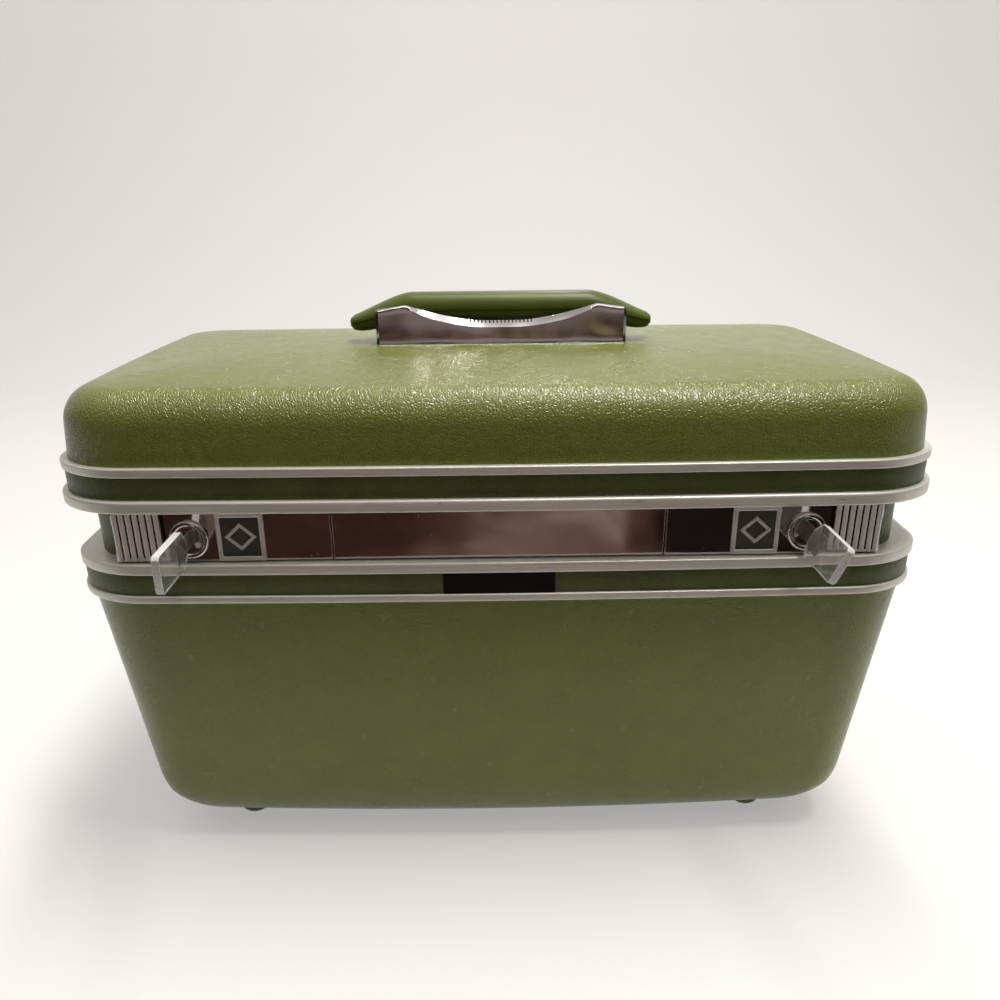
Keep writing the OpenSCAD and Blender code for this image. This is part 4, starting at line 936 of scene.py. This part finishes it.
def makeBrownFelt():
    # wool felt in browns, with paler patches a hand wide; its tones are painted reflections, set so that the
    # chrome plates and the trough mirror a dark room with paler places
    material, tree, shader = newMaterial("brown felt", "3a1f19", Roughness=0.9, Specular_IOR_Level=0.1)
    coord = addNode(tree, "TexCoord").outputs["Object"]
    stretch = addNode(tree, "Mapping", links={"Vector": coord}, Scale=felt["stretch"],
                      Location=felt["slide"])
    patches = addNode(tree, "TexNoise", links={"Vector": stretch},
                      Scale=felt["scale"], Detail=1.5, Distortion=0.6)
    # painted reflection: darkest at the right and palest just right of the middle, as the lock plates mirror
    # it
    parts = addNode(tree, "SeparateXYZ", links={0: coord}).outputs
    across = addNode(tree, "MapRange", links={0: parts["X"]}, i1=-felt["across"], i2=felt["across"])
    level = addNode(tree, "ValToRGB", links={"Fac": across}, stops=felt["levels"])
    mixed = addNode(tree, "Math", {"operation": "MULTIPLY_ADD"}, {0: patches, 2: level}, i1=felt["share"])
    tone = addNode(tree, "ValToRGB", links={"Fac": mixed}, stops=felt["browns"])
    # painted reflection: its upper part is greyer, for faces that lean back to mirror
    upper = addNode(tree, "MapRange", links={0: parts["Z"]}, i1=felt["greyFrom"], i2=felt["greyTo"])
    paintedGreyTop = addNode(tree, "Mix", {"data_type": "RGBA"}, {0: upper, 6: tone}, i7=toLinear(felt["grey"]))
    joinTo(tree, shader, {"Base Color": paintedGreyTop.outputs[2]})
    return material


# a sheet in front of the case that curves up behind the camera: only reflections and bounced light meet it
card = curvedSheet("card", cardLine, cardHalf, makeBrownFelt())
card.visible_camera = False
card.visible_shadow = False

room = {
    "strength": 0.85, "backShare": 1.25, "sky": ((0.42, "211a17"), (0.74, "6f6a67"), (0.92, "fbfaf8")),
    "white": "f6f5f4",
}
world = bpy.data.worlds.new("studio")
world.use_nodes = True
scene.world = world
sky = world.node_tree
background = sky.nodes["Background"]
background.inputs["Strength"].default_value = room["strength"]
# pale above and behind, brown in front, as in a room with a dark side
heading = addNode(sky, "TexCoord").outputs["Generated"]
parts = addNode(sky, "SeparateXYZ", links={0: heading}).outputs
tilt = addNode(sky, "Math", {"operation": "MULTIPLY_ADD"}, {0: parts["Z"], 2: parts["Y"]},
               i1=room["backShare"])
share = addNode(sky, "MapRange", links={0: tilt}, i1=-1.0, i2=1.0)
colours = addNode(sky, "ValToRGB", links={"Fac": share}, stops=room["sky"])
joinTo(sky, background, {"Color": colours})
whiteWall = addNode(sky, "Background", Color=toLinear(room["white"]), Strength=1.0)
rays = addNode(sky, "LightPath").outputs
chosen = addNode(sky, "MixShader", None, {0: rays["Is Camera Ray"], 1: background, 2: whiteWall})
joinTo(sky, sky.nodes["World Output"], {"Surface": chosen})

shot = {
    "place": (-4.11, -483.66, 269.06),   # mm from the middle of the floor under the case
    "pitch": 63.3, "yaw": -0.59, "roll": -0.6,   # degrees
    "lens": 36.0, "sensor": 36.0, "shiftUp": 0.2, "near": 0.01,
}
view = bpy.data.cameras.new("camera")
view.lens = shot["lens"]
view.sensor_width = shot["sensor"]
view.sensor_fit = "HORIZONTAL"
view.shift_y = shot["shiftUp"]
view.clip_start = shot["near"]
stand = Matrix.Translation(Vector(shot["place"]) * mm)
for key, axis in (("yaw", "Z"), ("pitch", "X"), ("roll", "Z")):
    stand = stand @ Matrix.Rotation(math.radians(shot[key]), 4, axis)
camera = addPiece("camera", view)
camera.matrix_world = stand
scene.camera = camera

lampColour = "fffaf4"
lamps = {   # place, aim and size in metres, power in watts
    "ceilingLamp": ((0.25, 0.12, 1.6), (0.0, 0.05, 0.1), (1.5, 0.22), 30),
    "frontTube": ((0.15, -1.20, 1.30), (0.0, -0.1, 0.2), (1.2, 0.05), 1.5),
    "softFront": ((0.05, -0.87, 1.30), (0.0, -0.1, 0.2), (1.2, 0.36), 0.7),
    "windowLamp": ((0.12, 1.42, 1.0), (0.04, 0.0, 0.2), (0.09, 0.16), 1.0),
}
for name, (place, aim, size, power) in lamps.items():
    data = bpy.data.lights.new(name, "AREA")
    data.shape = "RECTANGLE"
    data.size, data.size_y = size
    data.energy = power
    data.color = toLinear(lampColour)[:3]
    lamp = addPiece(name, data)
    lamp.location = place
    lamp.rotation_euler = (Vector(aim) - Vector(place)).to_track_quat("-Z", "Y").to_euler()
    lamp.visible_camera = False
print("floor, card and lamps placed")

scene.view_settings.view_transform = "Standard"

print("scene made")
